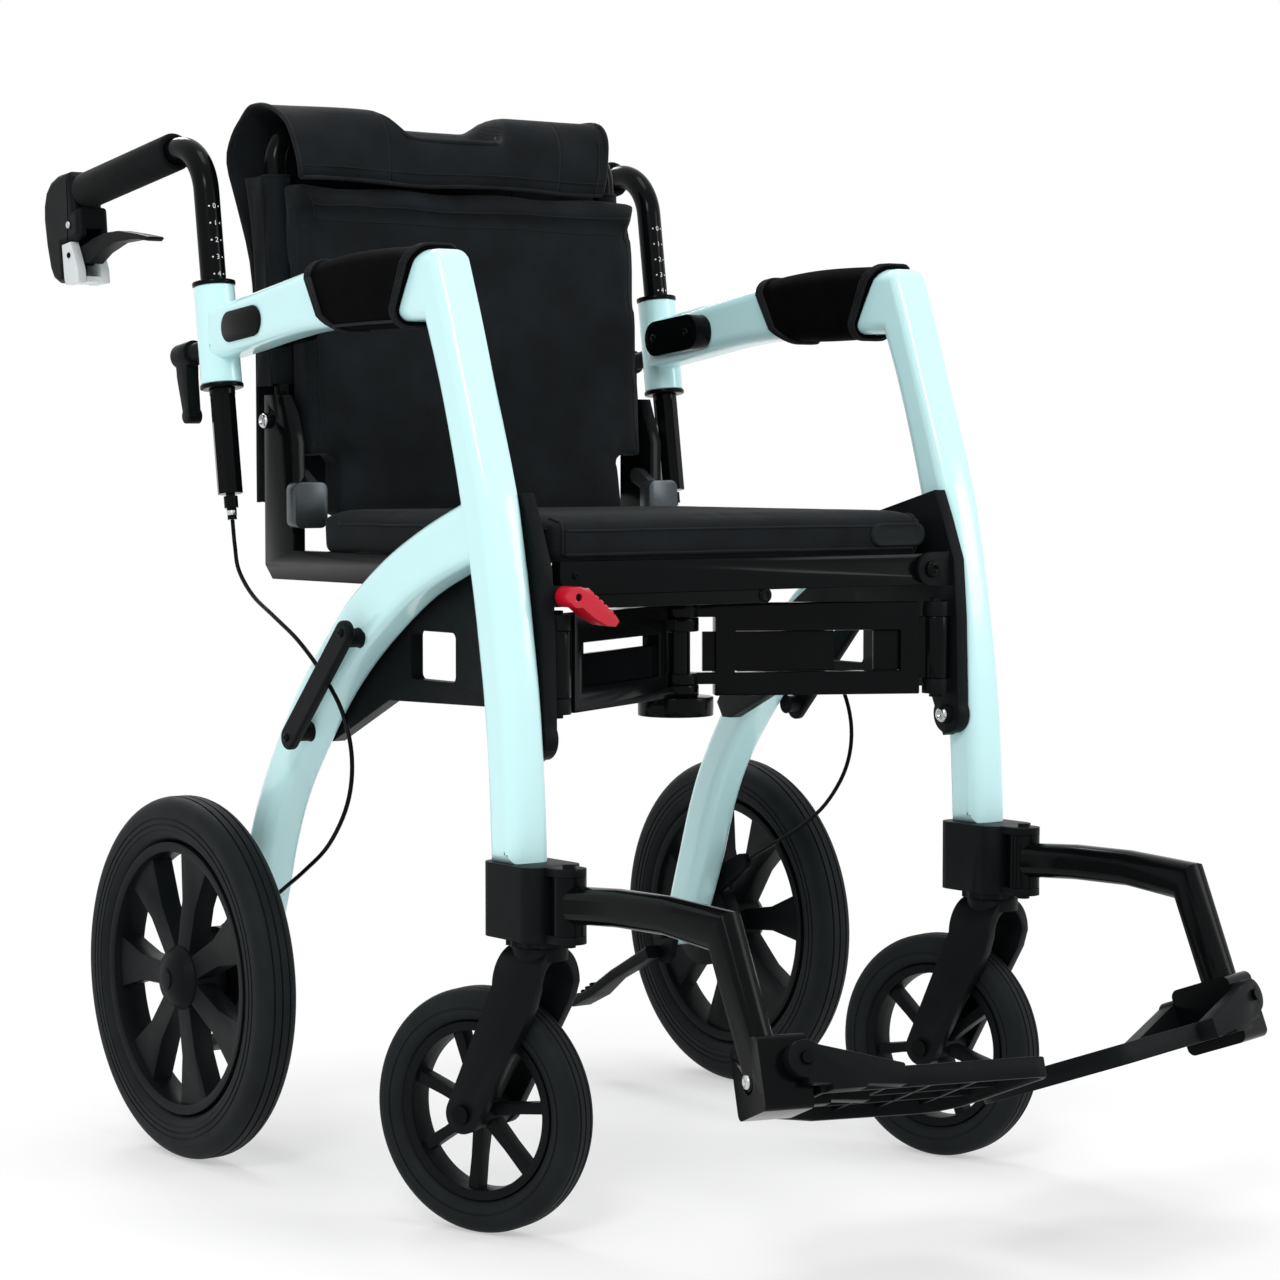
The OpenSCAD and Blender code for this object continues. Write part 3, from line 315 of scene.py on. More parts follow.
SHADING = smooth_by_angle(radians(32))
for node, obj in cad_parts.items():
    obj.data.materials.clear()
    obj.data.materials.append(NODE_LOOKS[base_name(node)])
    weld = obj.modifiers.new("weld", "WELD")
    weld.merge_threshold = 0.00002
    if base_name(node) in EDGES:
        flat = obj.modifiers.new("flat_faces", "DECIMATE")
        flat.decimate_type = "DISSOLVE"
        flat.angle_limit = radians(0.5)
        bevel = obj.modifiers.new("edges", "BEVEL")
        bevel.width = EDGES[base_name(node)] / 1000
        bevel.segments = 2
        bevel.limit_method = "ANGLE"
        bevel.angle_limit = radians(38)
        bevel.use_clamp_overlap = True
    obj.modifiers.new("shading", "NODES").node_group = SHADING


# Mesh helpers
def piece(name, verts, faces, look, body=None, slot=None):
    """Smooth mesh of its own, which rides on a body where one is named."""
    mesh = bpy.data.meshes.new(name)
    mesh.from_pydata([tuple(v) for v in verts], [], faces)
    mesh.update()
    made = bpy.data.objects.new(name, mesh)
    scene.collection.objects.link(made)
    mesh.materials.append(look)
    for p in mesh.polygons:
        p.use_smooth = True
    if body:
        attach(made, body)
    return made


def ring_faces(rings, n):
    """Faces between rings of n points each."""
    return [(i * n + k, i * n + (k + 1) % n, (i + 1) * n + (k + 1) % n, (i + 1) * n + k)
            for i in range(rings - 1) for k in range(n)]


def smooth_path(points, steps):
    """Catmull-Rom curve through the points."""
    pts = [Vector(p) for p in points]
    pts = [2 * pts[0] - pts[1]] + pts + [2 * pts[-1] - pts[-2]]
    out = []
    for i in range(1, len(pts) - 2):
        a, b, c, d = pts[i - 1:i + 3]
        for k in range(steps):
            t = k / steps
            out.append(0.5 * (2 * b + (c - a) * t + (2 * a - 5 * b + 4 * c - d) * t ** 2
                              + (3 * b - a - 3 * c + d) * t ** 3))
    return out + [pts[-2]]


def tube(name, path, radius, look, sides=10, **where):
    """Round tube along a path, closed at both ends."""
    verts = []
    up = Vector((0.31, 0.2, 0.93))
    for i, p in enumerate(path):
        along = (path[min(i + 1, len(path) - 1)] - path[max(i - 1, 0)]).normalized()
        u = (up - along * up.dot(along)).normalized()
        up = u
        v = along.cross(u)
        verts += [p + radius * (cos(2 * pi * k / sides) * u + sin(2 * pi * k / sides) * v) for k in range(sides)]
    faces = ring_faces(len(path), sides)
    faces.append(tuple(range(sides - 1, -1, -1)))
    faces.append(tuple((len(path) - 1) * sides + k for k in range(sides)))
    return piece(name, verts, faces, look, **where)


def turned(name, centre, axis, profile, look, sides=24, **where):
    """Piece turned about an axis: profile is [(radius, height)] in millimetres, from the foot to the tip."""
    spin = Vector(axis).normalized().to_track_quat("Z", "Y").to_matrix()
    verts = [Vector(centre) + spin @ Vector((r * cos(2 * pi * k / sides), r * sin(2 * pi * k / sides), h)) / 1000
             for r, h in profile for k in range(sides)]
    faces = ring_faces(len(profile), sides)
    faces.append(tuple(range(sides - 1, -1, -1)))
    faces.append(tuple((len(profile) - 1) * sides + k for k in range(sides)))
    return piece(name, verts, faces, look, **where)


def screw(name, centre, axis, r, body, look=STEEL):
    """Domed screw head with a round socket."""
    profile = [(1, 0), (1, 0.3), (0.86, 0.52), (0.52, 0.66), (0.46, 0.62), (0.42, 0.25)]
    return turned(name, centre, axis, [(a * r, b * r) for a, b in profile], look, body=body, slot="steel")


def sheet_grid(name, rows, look, thick, **where):
    """Cloth over a grid of row points, given a thickness."""
    n = len(rows[0])
    faces = [(i * n + k, i * n + k + 1, (i + 1) * n + k + 1, (i + 1) * n + k)
             for i in range(len(rows) - 1) for k in range(n - 1)]
    made = piece(name, [p for row in rows for p in row], faces, look, **where)
    solid = made.modifiers.new("thickness", "SOLIDIFY")
    solid.thickness = thick
    solid.offset = 0
    return made


def swell(made, voxel, pressure, cap, low=None):
    """Puffs a pad with a cloth simulation, keeps each point within cap of its start, and bakes the result."""
    bpy.context.view_layer.objects.active = made
    remesh = made.modifiers.new("remesh", "REMESH")
    remesh.mode = "VOXEL"
    remesh.voxel_size = voxel
    bpy.ops.object.modifier_apply(modifier="remesh")
    start = np.array([v.co for v in made.data.vertices])
    cloth = made.modifiers.new("cloth", "CLOTH")
    cloth.settings.use_pressure = True
    cloth.settings.uniform_pressure_force = pressure
    cloth.settings.effector_weights.gravity = 0
    cloth.point_cache.frame_start = 1
    cloth.point_cache.frame_end = 20
    for f in range(1, 21):
        scene.frame_set(f)
    moved = made.evaluated_get(bpy.context.evaluated_depsgraph_get()).data
    end = np.array([v.co for v in moved.vertices])
    made.modifiers.remove(cloth)
    scene.frame_set(1)
    step = end - start
    far = np.maximum(np.linalg.norm(step, axis=1, keepdims=True), 1e-9)
    start = start + step * np.minimum(1.0, cap / far)
    if low is not None:
        start[:, 2] = np.maximum(start[:, 2], low)
    made.data.vertices.foreach_set("co", start.ravel())
    made.data.update()
    for p in made.data.polygons:
        p.use_smooth = True
    made.modifiers.new("soften", "SUBSURF").levels = 1
    made.modifiers["soften"].render_levels = 1


def prism(name, low, high, look, bevel):
    """Closed form between two outlines of row points, with rounded edges."""
    n = len(low)
    faces = [tuple(range(n - 1, -1, -1)), tuple(range(n, 2 * n))]
    faces += [(i, (i + 1) % n, (i + 1) % n + n, i + n) for i in range(n)]
    made = piece(name, low + high, faces, look)
    edit = bmesh.new()
    edit.from_mesh(made.data)
    bmesh.ops.bevel(edit, geom=list(edit.edges), offset=bevel, segments=4, profile=0.5, affect="EDGES")
    edit.to_mesh(made.data)
    edit.free()
    return made


def laid_on(made, points, lift):
    """Points moved onto a pad's surface, lift above it."""
    out = []
    for p in points:
        _, spot, normal, _ = made.closest_point_on_mesh(p)
        out.append(spot + lift * normal)
    return out


def fold_soft(made, node=None):
    """A soft piece of the seat or the panel rides on the left side with a mesh of its own, and hides the node it
    stands in for where one is named.
    """
    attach(made, "left_side")
    if node:
        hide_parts(node)
    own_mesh(made)


# Painted side frames: leg and armrest in one outline, the arch, the sleeve and the axle boss, welded together
# Outlines are (y, z)
ARMREST_TOP = [(42, 713), (-7, 720.5), (-49, 727.2), (-89, 733.6), (-127, 739.6), (-160, 743.6), (-195, 746.2),
               (-240, 747), (-290, 746.8)]
ARMREST_LOW = [(42, 668.6), (-15, 676.5), (-61, 683.2), (-109, 688.8), (-165, 691.6), (-220, 692.4), (-292.6, 692.4)]
LEG_BACK = [(-292.6, 692.4), (-306, 660), (-317, 630), (-328, 596), (-338, 562), (-354, 499), (-365.5, 441),
            (-373.5, 389), (-378, 339), (-381, 281)]
LEG_FRONT = [(-417, 281), (-414.5, 329), (-410.5, 379), (-405, 423), (-394, 489), (-389.5, 511), (-381, 550),
             (-371.5, 581), (-361, 611), (-348, 647), (-330.5, 697), (-315, 738)]
LEG_CORNER, LEG_CORNER_R = (-311.6, 746.8), 12
ARCH_TOP = [(-370, 561), (-344, 554), (-287.4, 533.7), (-232.4, 508.3), (-183.7, 477.6), (-158.7, 456.8),
            (-108, 406.6), (-68.5, 355.4), (-39, 307.6), (-22, 270), (-6, 222), (7, 182), (14, 152)]
ARCH_LOW = [(-14, 152), (-26, 178), (-41, 216), (-57.5, 266), (-79, 309), (-114.3, 355), (-151.5, 395.6),
            (-199.6, 434.4), (-261, 472.6), (-313.2, 494.5), (-370, 512)]
LEG_HALF, ARCH_HALF = 18, 17.7
FRAME_EDGE = 10.5


def level(line, y):
    """Height of an outline at y."""
    return np.interp(-y, [-q for q, _ in line], [z for _, z in line])


def smooth_line(points):
    """Outline smoothed through its points."""
    return [(v.x, v.y) for v in smooth_path([(y, z, 0) for y, z in points], 5)]


def corner_arc(before, corner, after, r):
    """Round corner of an outline."""
    b, c, a = Vector(before), Vector(corner), Vector(after)
    into, out = (b - c).normalized(), (a - c).normalized()
    reach = r / tan(into.angle(out) / 2)
    start, end = c + into * reach, c + out * reach
    middle = c + (into + out).normalized() * (r / sin(into.angle(out) / 2))
    arc = []
    for k in range(9):
        spoke = (start - middle).lerp(end - middle, k / 8)
        arc.append(tuple(middle + spoke.normalized() * r))
    return arc


def round_edged(name, place, outline, half, r, look):
    """Closed form of an outline, with all its edges rounded: place turns its x, y and z into a row point."""
    pts = np.array(outline)
    step = np.roll(pts, -1, 0) - pts
    step /= np.linalg.norm(step, axis=1, keepdims=True)
    turn = np.sum(pts[:, 0] * np.roll(pts[:, 1], -1) - pts[:, 1] * np.roll(pts[:, 0], -1))
    out = np.stack([step[:, 1], -step[:, 0]], 1) * (1 if turn > 0 else -1)
    before = np.roll(out, 1, 0)
    mitre = (out + before) / (1 + np.sum(out * before, axis=1, keepdims=True))
    bend = [(r * (1 - sin(a)), half - r + r * cos(a)) for a in np.linspace(0, pi / 2, 7)]
    profile = [(1.12 * r, half)] + bend + [(d, -x) for d, x in reversed(bend)] + [(1.12 * r, -half)]
    verts = [place(x, *(q - d * m)) for d, x in profile for q, m in zip(pts, mitre)]
    n = len(pts)
    faces = ring_faces(len(profile), n)
    faces += [tuple(range(n)), tuple(range((len(profile) - 1) * n, len(profile) * n))]
    made = piece(name, verts, faces, look)
    face_outwards(made)
    return made


def face_outwards(made):
    """Turns the faces of a closed piece outwards."""
    edit = bmesh.new()
    edit.from_mesh(made.data)
    bmesh.ops.recalc_face_normals(edit, faces=edit.faces)
    if edit.calc_volume(signed=True) < 0:
        bmesh.ops.reverse_faces(edit, faces=edit.faces)
    edit.to_mesh(made.data)
    edit.free()


def welded(made, others, holes):
    """Joins closed pieces into the first one, cuts the holes and leaves one mesh."""
    for other in others + holes:
        face_outwards(other)
    for other in others + holes:
        weld = made.modifiers.new("weld", "BOOLEAN")
        weld.operation = "UNION" if other in others else "DIFFERENCE"
        weld.solver = "MANIFOLD"
        weld.object = other
    mesh = bpy.data.meshes.new_from_object(made.evaluated_get(bpy.context.evaluated_depsgraph_get()))
    made.modifiers.clear()
    made.data = mesh
    for other in others + holes:
        bpy.data.objects.remove(other)


def stand_in(made, body, node):
    """A rigid piece that is shown instead of a CAD node."""
    made.modifiers.new("shading", "NODES").node_group = SHADING
    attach(made, body)
    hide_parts(node)


for name, s in SIDES:

    def in_frame(x, y, z):
        return at(s * (FRAME_X + x), y, z)

    leg = (smooth_line(ARMREST_LOW) + smooth_line(LEG_BACK)[1:] + smooth_line(LEG_FRONT)
           + corner_arc(LEG_FRONT[-1], LEG_CORNER, ARMREST_TOP[-1], LEG_CORNER_R) + smooth_line(ARMREST_TOP)[::-1])
    frame_piece = round_edged(f"painted_frame_{name}", in_frame, leg, LEG_HALF, FRAME_EDGE, PAINT)
    bow = smooth_line(ARCH_TOP) + smooth_line(ARCH_LOW)
    arch = round_edged("arch", in_frame, bow, ARCH_HALF, FRAME_EDGE, PAINT)
    up = on_stem(s, 0, 0, 1) - on_stem(s, 0, 0, 0)
    sleeve = turned("sleeve", on_stem(s, 0, 0, 0), up, [(16.7, 0), (17.5, 0.8), (17.5, 83.2), (16.7, 84)], PAINT,
                    sides=56)
    bore = turned("bore", on_stem(s, 0, 0, -20), up, [(11.5, 0), (11.5, 124)], PAINT, sides=40)
    boss = turned("boss", at(s * 215.6, 0, AXLE_Z), (s, 0, 0),
                  [(17.3, 0), (18.5, 1.2), (18.5, 34.6), (17.3, 35.8)], PAINT, sides=48)
    welded(frame_piece, [arch, sleeve, boss], [bore])
    stand_in(frame_piece, f"{name}_side", f"side_frame_{name}")

# Cable guards on the arches: a flat bar on two feet
GUARD_TOP, GUARD_LOW = Vector((-205.5, 448.5)), Vector((-121.5, 360))
GUARD_X, GUARD_HALF, GUARD_EDGE = 266.4, 3.9, 2.4
GUARD_R, GUARD_STEPS = 10, 16
lean = (GUARD_TOP - GUARD_LOW).normalized()
start = np.arctan2(lean.y, lean.x)
guard_line = []
for spot, first in ((GUARD_TOP, start - pi / 2), (GUARD_LOW, start + pi / 2)):
    for k in range(GUARD_STEPS + 1):
        a = first + k * pi / GUARD_STEPS
        guard_line.append(tuple(spot + GUARD_R * Vector((cos(a), sin(a)))))
for name, s in SIDES:

    def on_guard(x, y, z):
        return at(s * (GUARD_X + x), y, z)

    guard = round_edged(f"guard_bar_{name}", on_guard, guard_line, GUARD_HALF, GUARD_EDGE, MOULDED)
    feet = [turned("foot", at(s * 250, *(spot + 0.05 * (other - spot))), (s, 0, 0),
                   [(8.5, 0), (7.6, 3), (7.6, 15)], MOULDED)
            for spot, other in ((GUARD_TOP, GUARD_LOW), (GUARD_LOW, GUARD_TOP))]
    welded(guard, feet, [])
    stand_in(guard, f"{name}_side", f"leg_guard_{name}")

# Brake housings at the ends of the grips, slotted for the lever
HOUSING = [(214, -16.5), (214, 13), (219, 18.5), (240, 19.5), (254, 16.5), (264.5, 9), (270.5, -3), (272.5, -16),
           (271, -40), (267, -62), (262, -72), (253, -77.5), (239.5, -78), (239, -45), (214, -45), (205.5, -42),
           (204.5, -16.8)]
HOUSING_HALF, HOUSING_EDGE = 16, 6
LEVER_SLOT = ((-7.8, 190), (7.8, 190), (7.8, 233), (-7.8, 233))
LEVER_SLOT_Z = (-92, -36)
for name, s in SIDES:
    handle = f"handle_{name}"

    def on_grip(x, y, z):
        return on_stem(s, x, y, GRIP_Z + z)

    housing = round_edged(f"brake_block_{name}", on_grip, HOUSING, HOUSING_HALF, HOUSING_EDGE, MOULDED)
    slot_ends = [[on_grip(x, y, z) for x, y in LEVER_SLOT] for z in LEVER_SLOT_Z]
    welded(housing, [], [prism("lever_slot", *slot_ends, MOULDED, 0.0004)])
    stand_in(housing, handle, f"brake_housing_{name}")
    seam = [on_grip(HOUSING_HALF + 0.05, y, z) for y, z in ((221, 11), (223, -20), (228, -43))]
    tube(f"housing_seam_{name}", smooth_path(seam, 4), 0.0005, GLOSSY, sides=8, body=handle, slot="black_plastic")

# Web plates in the left folding arm, and the flange under the seat's front rail
ARM_ANGLE = np.arccos(HINGE_X / ARM_LENGTH)
WEB_HALF, WEB_Z = 2.5, (412, 444.5)
FLANGE = ((-166, -389), (12, -389), (12, -383), (-166, -383))
FLANGE_Z = (471.5, 483)


def on_arm(u, v, z):
    """Row point of the left folding arm's own frame, whose u runs along the arm from its hinge."""
    c, n = cos(ARM_ANGLE), sin(ARM_ANGLE)
    return at(HINGE_X - u * c + v * n, HINGE_Y + u * n + v * c, z)


for label, near, far in (("inner", 86, 196), ("outer", 28, 53)):
    corners = ((near, -WEB_HALF), (far, -WEB_HALF), (far, WEB_HALF), (near, WEB_HALF))
    web = prism(f"arm_web_{label}", *[[on_arm(u, v, z) for u, v in corners] for z in WEB_Z], SATIN, 0.0006)
    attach(web, "arm_left")
flange = prism("rail_flange", *[[at(x, y, z) for x, y in FLANGE] for z in FLANGE_Z], SATIN, 0.0012)
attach(flange, "seat_rail")
turned("rail_flange_plug", at(12, -382, 477.5), (0, -1, 0),
       [(6.5, 0), (6.5, 7), (5.6, 8.4), (3, 8.8), (2.6, 8.2)], GLOSSY, body="seat_rail", slot="black_plastic")


# Brake cables: the same route as the solid, running from the handle down the side
CABLE_DROP, CABLE_R = 116.5, 0.0018
CABLE_ROUTE = [(238, 15, 512), (243, 0, 492), (250, -35, 472), (256, -80, 456), (260, -125, 438), (260, -163, 412),
               (260, -192, 383), (260, -205, 348), (260, -198, 312), (260, -170, 277), (260, -132, 252),
               (258, -95, 233), (255.5, -62, 216)]
for name, s in SIDES:
    handle = f"handle_{name}"
    path = smooth_path([on_stem(s, 0, 0, -CABLE_DROP)] + [at(s * x, y, z) for x, y, z in CABLE_ROUTE], 6)
    cable = tube(f"cable_{name}", path, CABLE_R, GLOSSY, slot="black_plastic")
    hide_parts(f"brake_cable_{name}")
    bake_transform(cable)
    turned(f"cable_ferrule_{name}", on_stem(s, 0, 0, -107), (0, -sin(STEM_TILT), -cos(STEM_TILT)),
           [(4.3, 0), (4.3, 5), (3.6, 5.6), (3.6, 8), (2.6, 9), (2.4, 9.2)], STEEL, body=handle, slot="steel")


# Seat cushion: crowned pad with corner seams, a lower hem and a bare patch
SEAT_LOW, SEAT_HIGH = 506, 538.5


def seat_outline(inset, z):
    """Row points round the seat at a height, drawn in by an inset."""
    w, front, back = 195 - inset, -387 + inset, -32 - inset
    corners = [(-w + 5, front), (w - 5, front), (w, front + 5), (w, back - 9), (w - 9, back), (-w + 9, back),
               (-w, back - 9), (-w, front + 5)]
    return [at(x, y, z) for x, y in corners]


seat = prism("seat_pad", seat_outline(4, SEAT_LOW), seat_outline(3, SEAT_HIGH), CANVAS, 0.0045)
swell(seat, 0.005, 4.0, 0.005, low=SEAT_LOW / 1000)
fold_soft(seat, "seat_cushion")
for name, s in SIDES:
    lines = {"corner": ([(s * 183, -400, z) for z in range(510, 537, 4)]
                        + [(s * (184 + i), -390 + 6 * i, 556) for i in range(5)]),
             "side": [(s * 206, y, 533) for y in range(-372, -70, 12)],
             "stitch": [(s * 179, -400, z) for z in range(511, 537, 4)]}
    for label, line in lines.items():
        seam = tube(f"seat_{label}_{name}", smooth_path(laid_on(seat, [at(*q) for q in line], 0.0004), 3),
                    0.0005 if label == "stitch" else 0.0012, BINDING, sides=8)
        fold_soft(seam)
for label, z, r in (("hem", 508.5, 1.4), ("top_seam", 534, 1.0)):
    line = laid_on(seat, [at(x, -402, z) for x in range(-180, 181, 12)], 0.0003)
    fold_soft(tube(f"seat_{label}", smooth_path(line, 3), r / 1000, BINDING, sides=8))
# Share of the patch's outline, and height, of each ring
patch_rows = [(1.0, 0.0), (1.0, 1.2), (0.93, 2.0), (0.86, 2.0), (0.82, 1.5), (0.4, 1.5)]
PATCH_SIDES, PATCH_REACH, PATCH_R = 28, 20, 9.5
patch_ring = []
for k in range(PATCH_SIDES):
    a = 2 * pi * (k + 0.5) / PATCH_SIDES
    patch_ring.append(((PATCH_REACH if cos(a) > 0 else -PATCH_REACH) + PATCH_R * cos(a), PATCH_R * sin(a)))
patch_at = laid_on(seat, [at(160, -402, 523)], 0)[0]
patch_verts = [patch_at + Vector((x * f, -h + 0.4, z * f)) / 1000 for f, h in patch_rows for x, z in patch_ring]
patch_faces = ring_faces(len(patch_rows), PATCH_SIDES)
patch_faces.append(tuple((len(patch_rows) - 1) * PATCH_SIDES + k for k in range(PATCH_SIDES)))
patch = piece("seat_patch", patch_verts, patch_faces, RUBBER)
fold_soft(patch)


# Back panel: padded front with a welt band across its top
LEAN = tan(radians(4.3))


def back_y(z, depth):
    """Y on the back, depth behind the panel's front face, in millimetres."""
    return -16 + (z - 536) * LEAN + depth


panel_front = [(-152, 531), (152, 531), (152, 586), (181, 588), (181, 823), (-181, 823), (-181, 588), (-152, 586)]
count = len(panel_front)
panel = piece("panel_pad", [at(x, back_y(z, d), z) for d in (2.5, 30) for x, z in panel_front],
              [tuple(range(count)), tuple(range(2 * count - 1, count - 1, -1))]
              + [(i, i + count, (i + 1) % count + count, (i + 1) % count) for i in range(count)], CANVAS)
swell(panel, 0.005, 3.0, 0.005)
coords = np.array([v.co for v in panel.data.vertices])
x, z = coords[:, 0] * 1000, coords[:, 2] * 1000
front = np.array([back_y(q, 14) for q in z]) + AXLE_Y > coords[:, 1] * 1000
band = 1 / (1 + np.exp(-(z - 799) / 1.6))
groove = np.exp(-((z - 796) / 3.2) ** 2)
folds = (1.6 * np.sin(x / 29 + z / 47) * np.exp(-((z - 600) / 60) ** 2)
         + 1.1 * np.sin(z / 16 + x / 80) * np.exp(-((z - 780) / 40) ** 2)
         + band * (0.9 * np.sin(x / 9) + 0.8 * np.sin(x / 23 + 1)) + 1.2 * np.sin(x / 60 - z / 90))
coords[:, 1] += np.where(front, folds - 3.4 * band + 2.6 * groove, 0) / 1000
coords[:, 2] += band * 0.0011 * np.sin(x / 17)
panel.data.vertices.foreach_set("co", coords.ravel())
fold_soft(panel, "back_panel")
for label, z, r in (("upper", 800, 0.8), ("lower", 791, 0.5)):
    line = laid_on(panel, [at(x, back_y(z, -14), z + 0.8 * sin(x / 23)) for x in range(-174, 175, 12)], 0.0001)
    fold_soft(tube(f"panel_seam_{label}", smooth_path(line, 3), r / 1000, BINDING, sides=8))
for name, s in SIDES:
    line = laid_on(panel, [at(s * 174, back_y(z, -14), z) for z in range(598, 816, 8)], 0.0001)
    fold_soft(tube(f"panel_edge_{name}", smooth_path(line, 3), 0.0006, BINDING, sides=8))


# Back cover: hood over the back tubes, flared at its right end and scooped in the middle of its top
HOOD = [(1, 824), (-0.4, 840), (0, 856), (3, 872), (10, 883), (22, 888.5), (40, 889.5), (60, 887.5), (74, 879),
        (81, 864), (82, 842), (75, 806), (64, 756), (60, 698), (61, 640), (63, 590), (64, 548)]
HOOD_TOP = 889.6
# How far each row falls in the scoop, and moves back at the right end
SCOOP_FALL = (0, 0, 1, 7, 22, 34, 30, 12, 2)
RIDGE_BACK = (0, 2, 6, 13, 22, 27, 24, 14, 5)


def hood_ends(k):
    """X of the hood's right and left ends in a row."""
    return (-186 + 5 * max(0.0, (2.5 - k) / 2.5),
            143 + 41 * min(1.0, max(0.0, (k - 7) / 4)) - 7 * max(0.0, (2.5 - k) / 2.5) ** 2)


def hood_point(u, k):
    """Point of the hood: u runs from its right end to its left, k from the flap's hem over the top to the foot."""
    y, z = HOOD[k]
    share = k / (len(HOOD) - 1)
    x0, x1 = hood_ends(k)
    x = x0 + (x1 - x0) * u
    scoop = 1 / (1 + exp(-(x + 72) / 5)) / (1 + exp((x - 36) / 2.4))
    if k < len(SCOOP_FALL):
        z -= SCOOP_FALL[k] * scoop
        y += RIDGE_BACK[k] * min(1.0, max(0.0, (-x - 40) / 146)) ** 1.3
    flare = max(0.0, (-x - 84) / 102) ** 2
    bulge = exp(-((k - 9.8) / 1.7) ** 2)
    y += flare * (14 * bulge - 4 * exp(-((k - 1.5) / 2.0) ** 2))
    drape = 0.35 + 0.65 * share
    y += drape * (1.8 * sin(x / 21 + 0.8 * k) + 1.2 * sin(x / 11 - 0.5 * k)) + 0.9 * sin(x / 47 - 1.1 * k)
    if k < 4:
        y += 1.0 * sin(x / 13 + 1.7 * k) - 1.4 * exp(-((x + 20 - 30 * k) / 26) ** 2)
        z += 1.3 * sin(x / 27 + 0.6) * (1 - k / 4)
    return at(x - 10 * flare * bulge, y, min(z, HOOD_TOP))


def with_hood(made, part):
    """A hood piece: the ends ride on their sides, and the middle rides on the left side with a mesh of its own."""
    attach(made, "right_side" if part == "right" else "left_side")
    if part == "middle":
        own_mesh(made)


def hood_row(part, k, count):
    """Points of one part of the hood, along a row."""
    x0, x1 = hood_ends(k)
    start, end = {"right": (x0, -HOOD_CUT), "middle": (-HOOD_CUT, HOOD_CUT), "left": (HOOD_CUT, x1)}[part]
    return [hood_point((x - x0) / (x1 - x0), k) for x in np.linspace(start, end, count)]


def hood_edge(name, points, r, part):
    """Binding or stitch line on a part of the hood."""
    with_hood(tube(name, smooth_path(points, 3), r, BINDING), part)


for part, columns in (("right", 21), ("middle", 37), ("left", 19)):
    hood = sheet_grid(f"back_hood_{part}", [hood_row(part, k, columns) for k in range(len(HOOD))], CANVAS, 0.0026)
    hood.modifiers.new("soften", "SUBSURF").render_levels = 1
    hood.modifiers.move(len(hood.modifiers) - 1, 0)
    with_hood(hood, part)
    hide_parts("back_cover")
    hood_edge(f"hood_flap_hem_{part}", hood_row(part, 0, columns), 0.0021, part)
    stitch = [q + Vector((0, -0.0016, -0.006)) for q in hood_row(part, 1, columns)]
    hood_edge(f"hood_flap_stitch_{part}", stitch, 0.0006, part)
hood_edge("hood_right_end", [hood_point(0, k) for k in range(len(HOOD))], 0.0022, "right")
hood_edge("hood_left_end", [hood_point(1, k) for k in range(len(HOOD))], 0.0022, "left")
hood_edge("hood_left_seam", [hood_point(0.972, k) + Vector((0, -0.0014, 0)) for k in range(4)], 0.0008, "left")
scoop_line = [(0.29, 5), (0.31, 4)] + [(u, 3) for u in np.linspace(0.345, 0.635, 24)] + [(0.662, 4), (0.676, 5)]
piping = [hood_point(u, k) + Vector((0, -0.0006, -0.002)) for u, k in scoop_line]
hood_edge("hood_scoop_piping", piping, 0.0024, "middle")
# Back edge of the cheeks, which meets the hood
CHEEK_Z, CHEEK_Y = [640, 698, 756, 806, 842], [61, 60, 64, 75, 82]
for name, s in SIDES:
    rows = [[at(s * (187.4 - 0.7 * sin(z / 17 + 5 * t)),
                back_y(z, 44) * (1 - t) + t * np.interp(z, CHEEK_Z, CHEEK_Y), z)
             for t in np.linspace(0, 1, 9)] for z in np.linspace(648, 828, 20)]
    cheek = sheet_grid(f"back_cheek_{name}", rows, CANVAS, 0.0022)
    with_hood(cheek, name)
    rows = [[at(s * (175 + (11.6 + 0.5 * sin(z / 13 + 3 * a)) * cos(a)),
                34 + (z - 612) * LEAN + (11.6 + 0.5 * sin(z / 13 + 3 * a)) * sin(a), z)
             for a in np.linspace(-2.6, 1.2, 20)] for z in np.linspace(650, 828, 24)]
    sleeve = sheet_grid(f"back_sleeve_{name}", rows, CANVAS, 0.0018)
    with_hood(sleeve, name)
    with_hood(tube(f"back_sleeve_hem_{name}", smooth_path(rows[-1], 2), 0.0014, BINDING, sides=8), name)


# Armrest wraps with a bound edge all round
def armrest_ring(s, share, grow):
    """Ring round the armrest: share runs from the wrap's front edge to its rear one, on a tube grown so much."""
    w, d, r = 18.4 + grow, 27 + grow, 10 + grow
    ring = []
    for q in range(4):
        for i in range(7):
            a = pi / 2 * (q + i / 6)
            x = (1 if q in (0, 3) else -1) * (w - r) + r * cos(a)
            up = ((1 if q < 2 else -1) * (d - r) + r * sin(a)) / d
            under = (1 - up) / 2
            front = -263 - 31 * (1 - under) ** 2
            back = -129 - 40 * max(0.0, (under - 0.42) / 0.58) ** 1.5
            y = front + share * (back - front)
            top, low = level(ARMREST_TOP, y) + grow, level(ARMREST_LOW, y) - grow
            ring.append(at(s * (FRAME_X + x), y, (top + low) / 2 + up * (top - low) / 2))
    return ring


# Share of the wrap's length, and growth over the tube, of each ring
WRAP_RINGS = [(0, 0.4), (0.004, 2.8), (0.015, 4.0), (0.055, 4.3), (0.07, 3.0), (0.18, 3.5), (0.36, 3.9), (0.5, 4.0),
              (0.64, 3.9), (0.82, 3.5), (0.93, 3.0), (0.945, 4.3), (0.985, 4.0), (0.996, 2.8), (1, 0.4)]
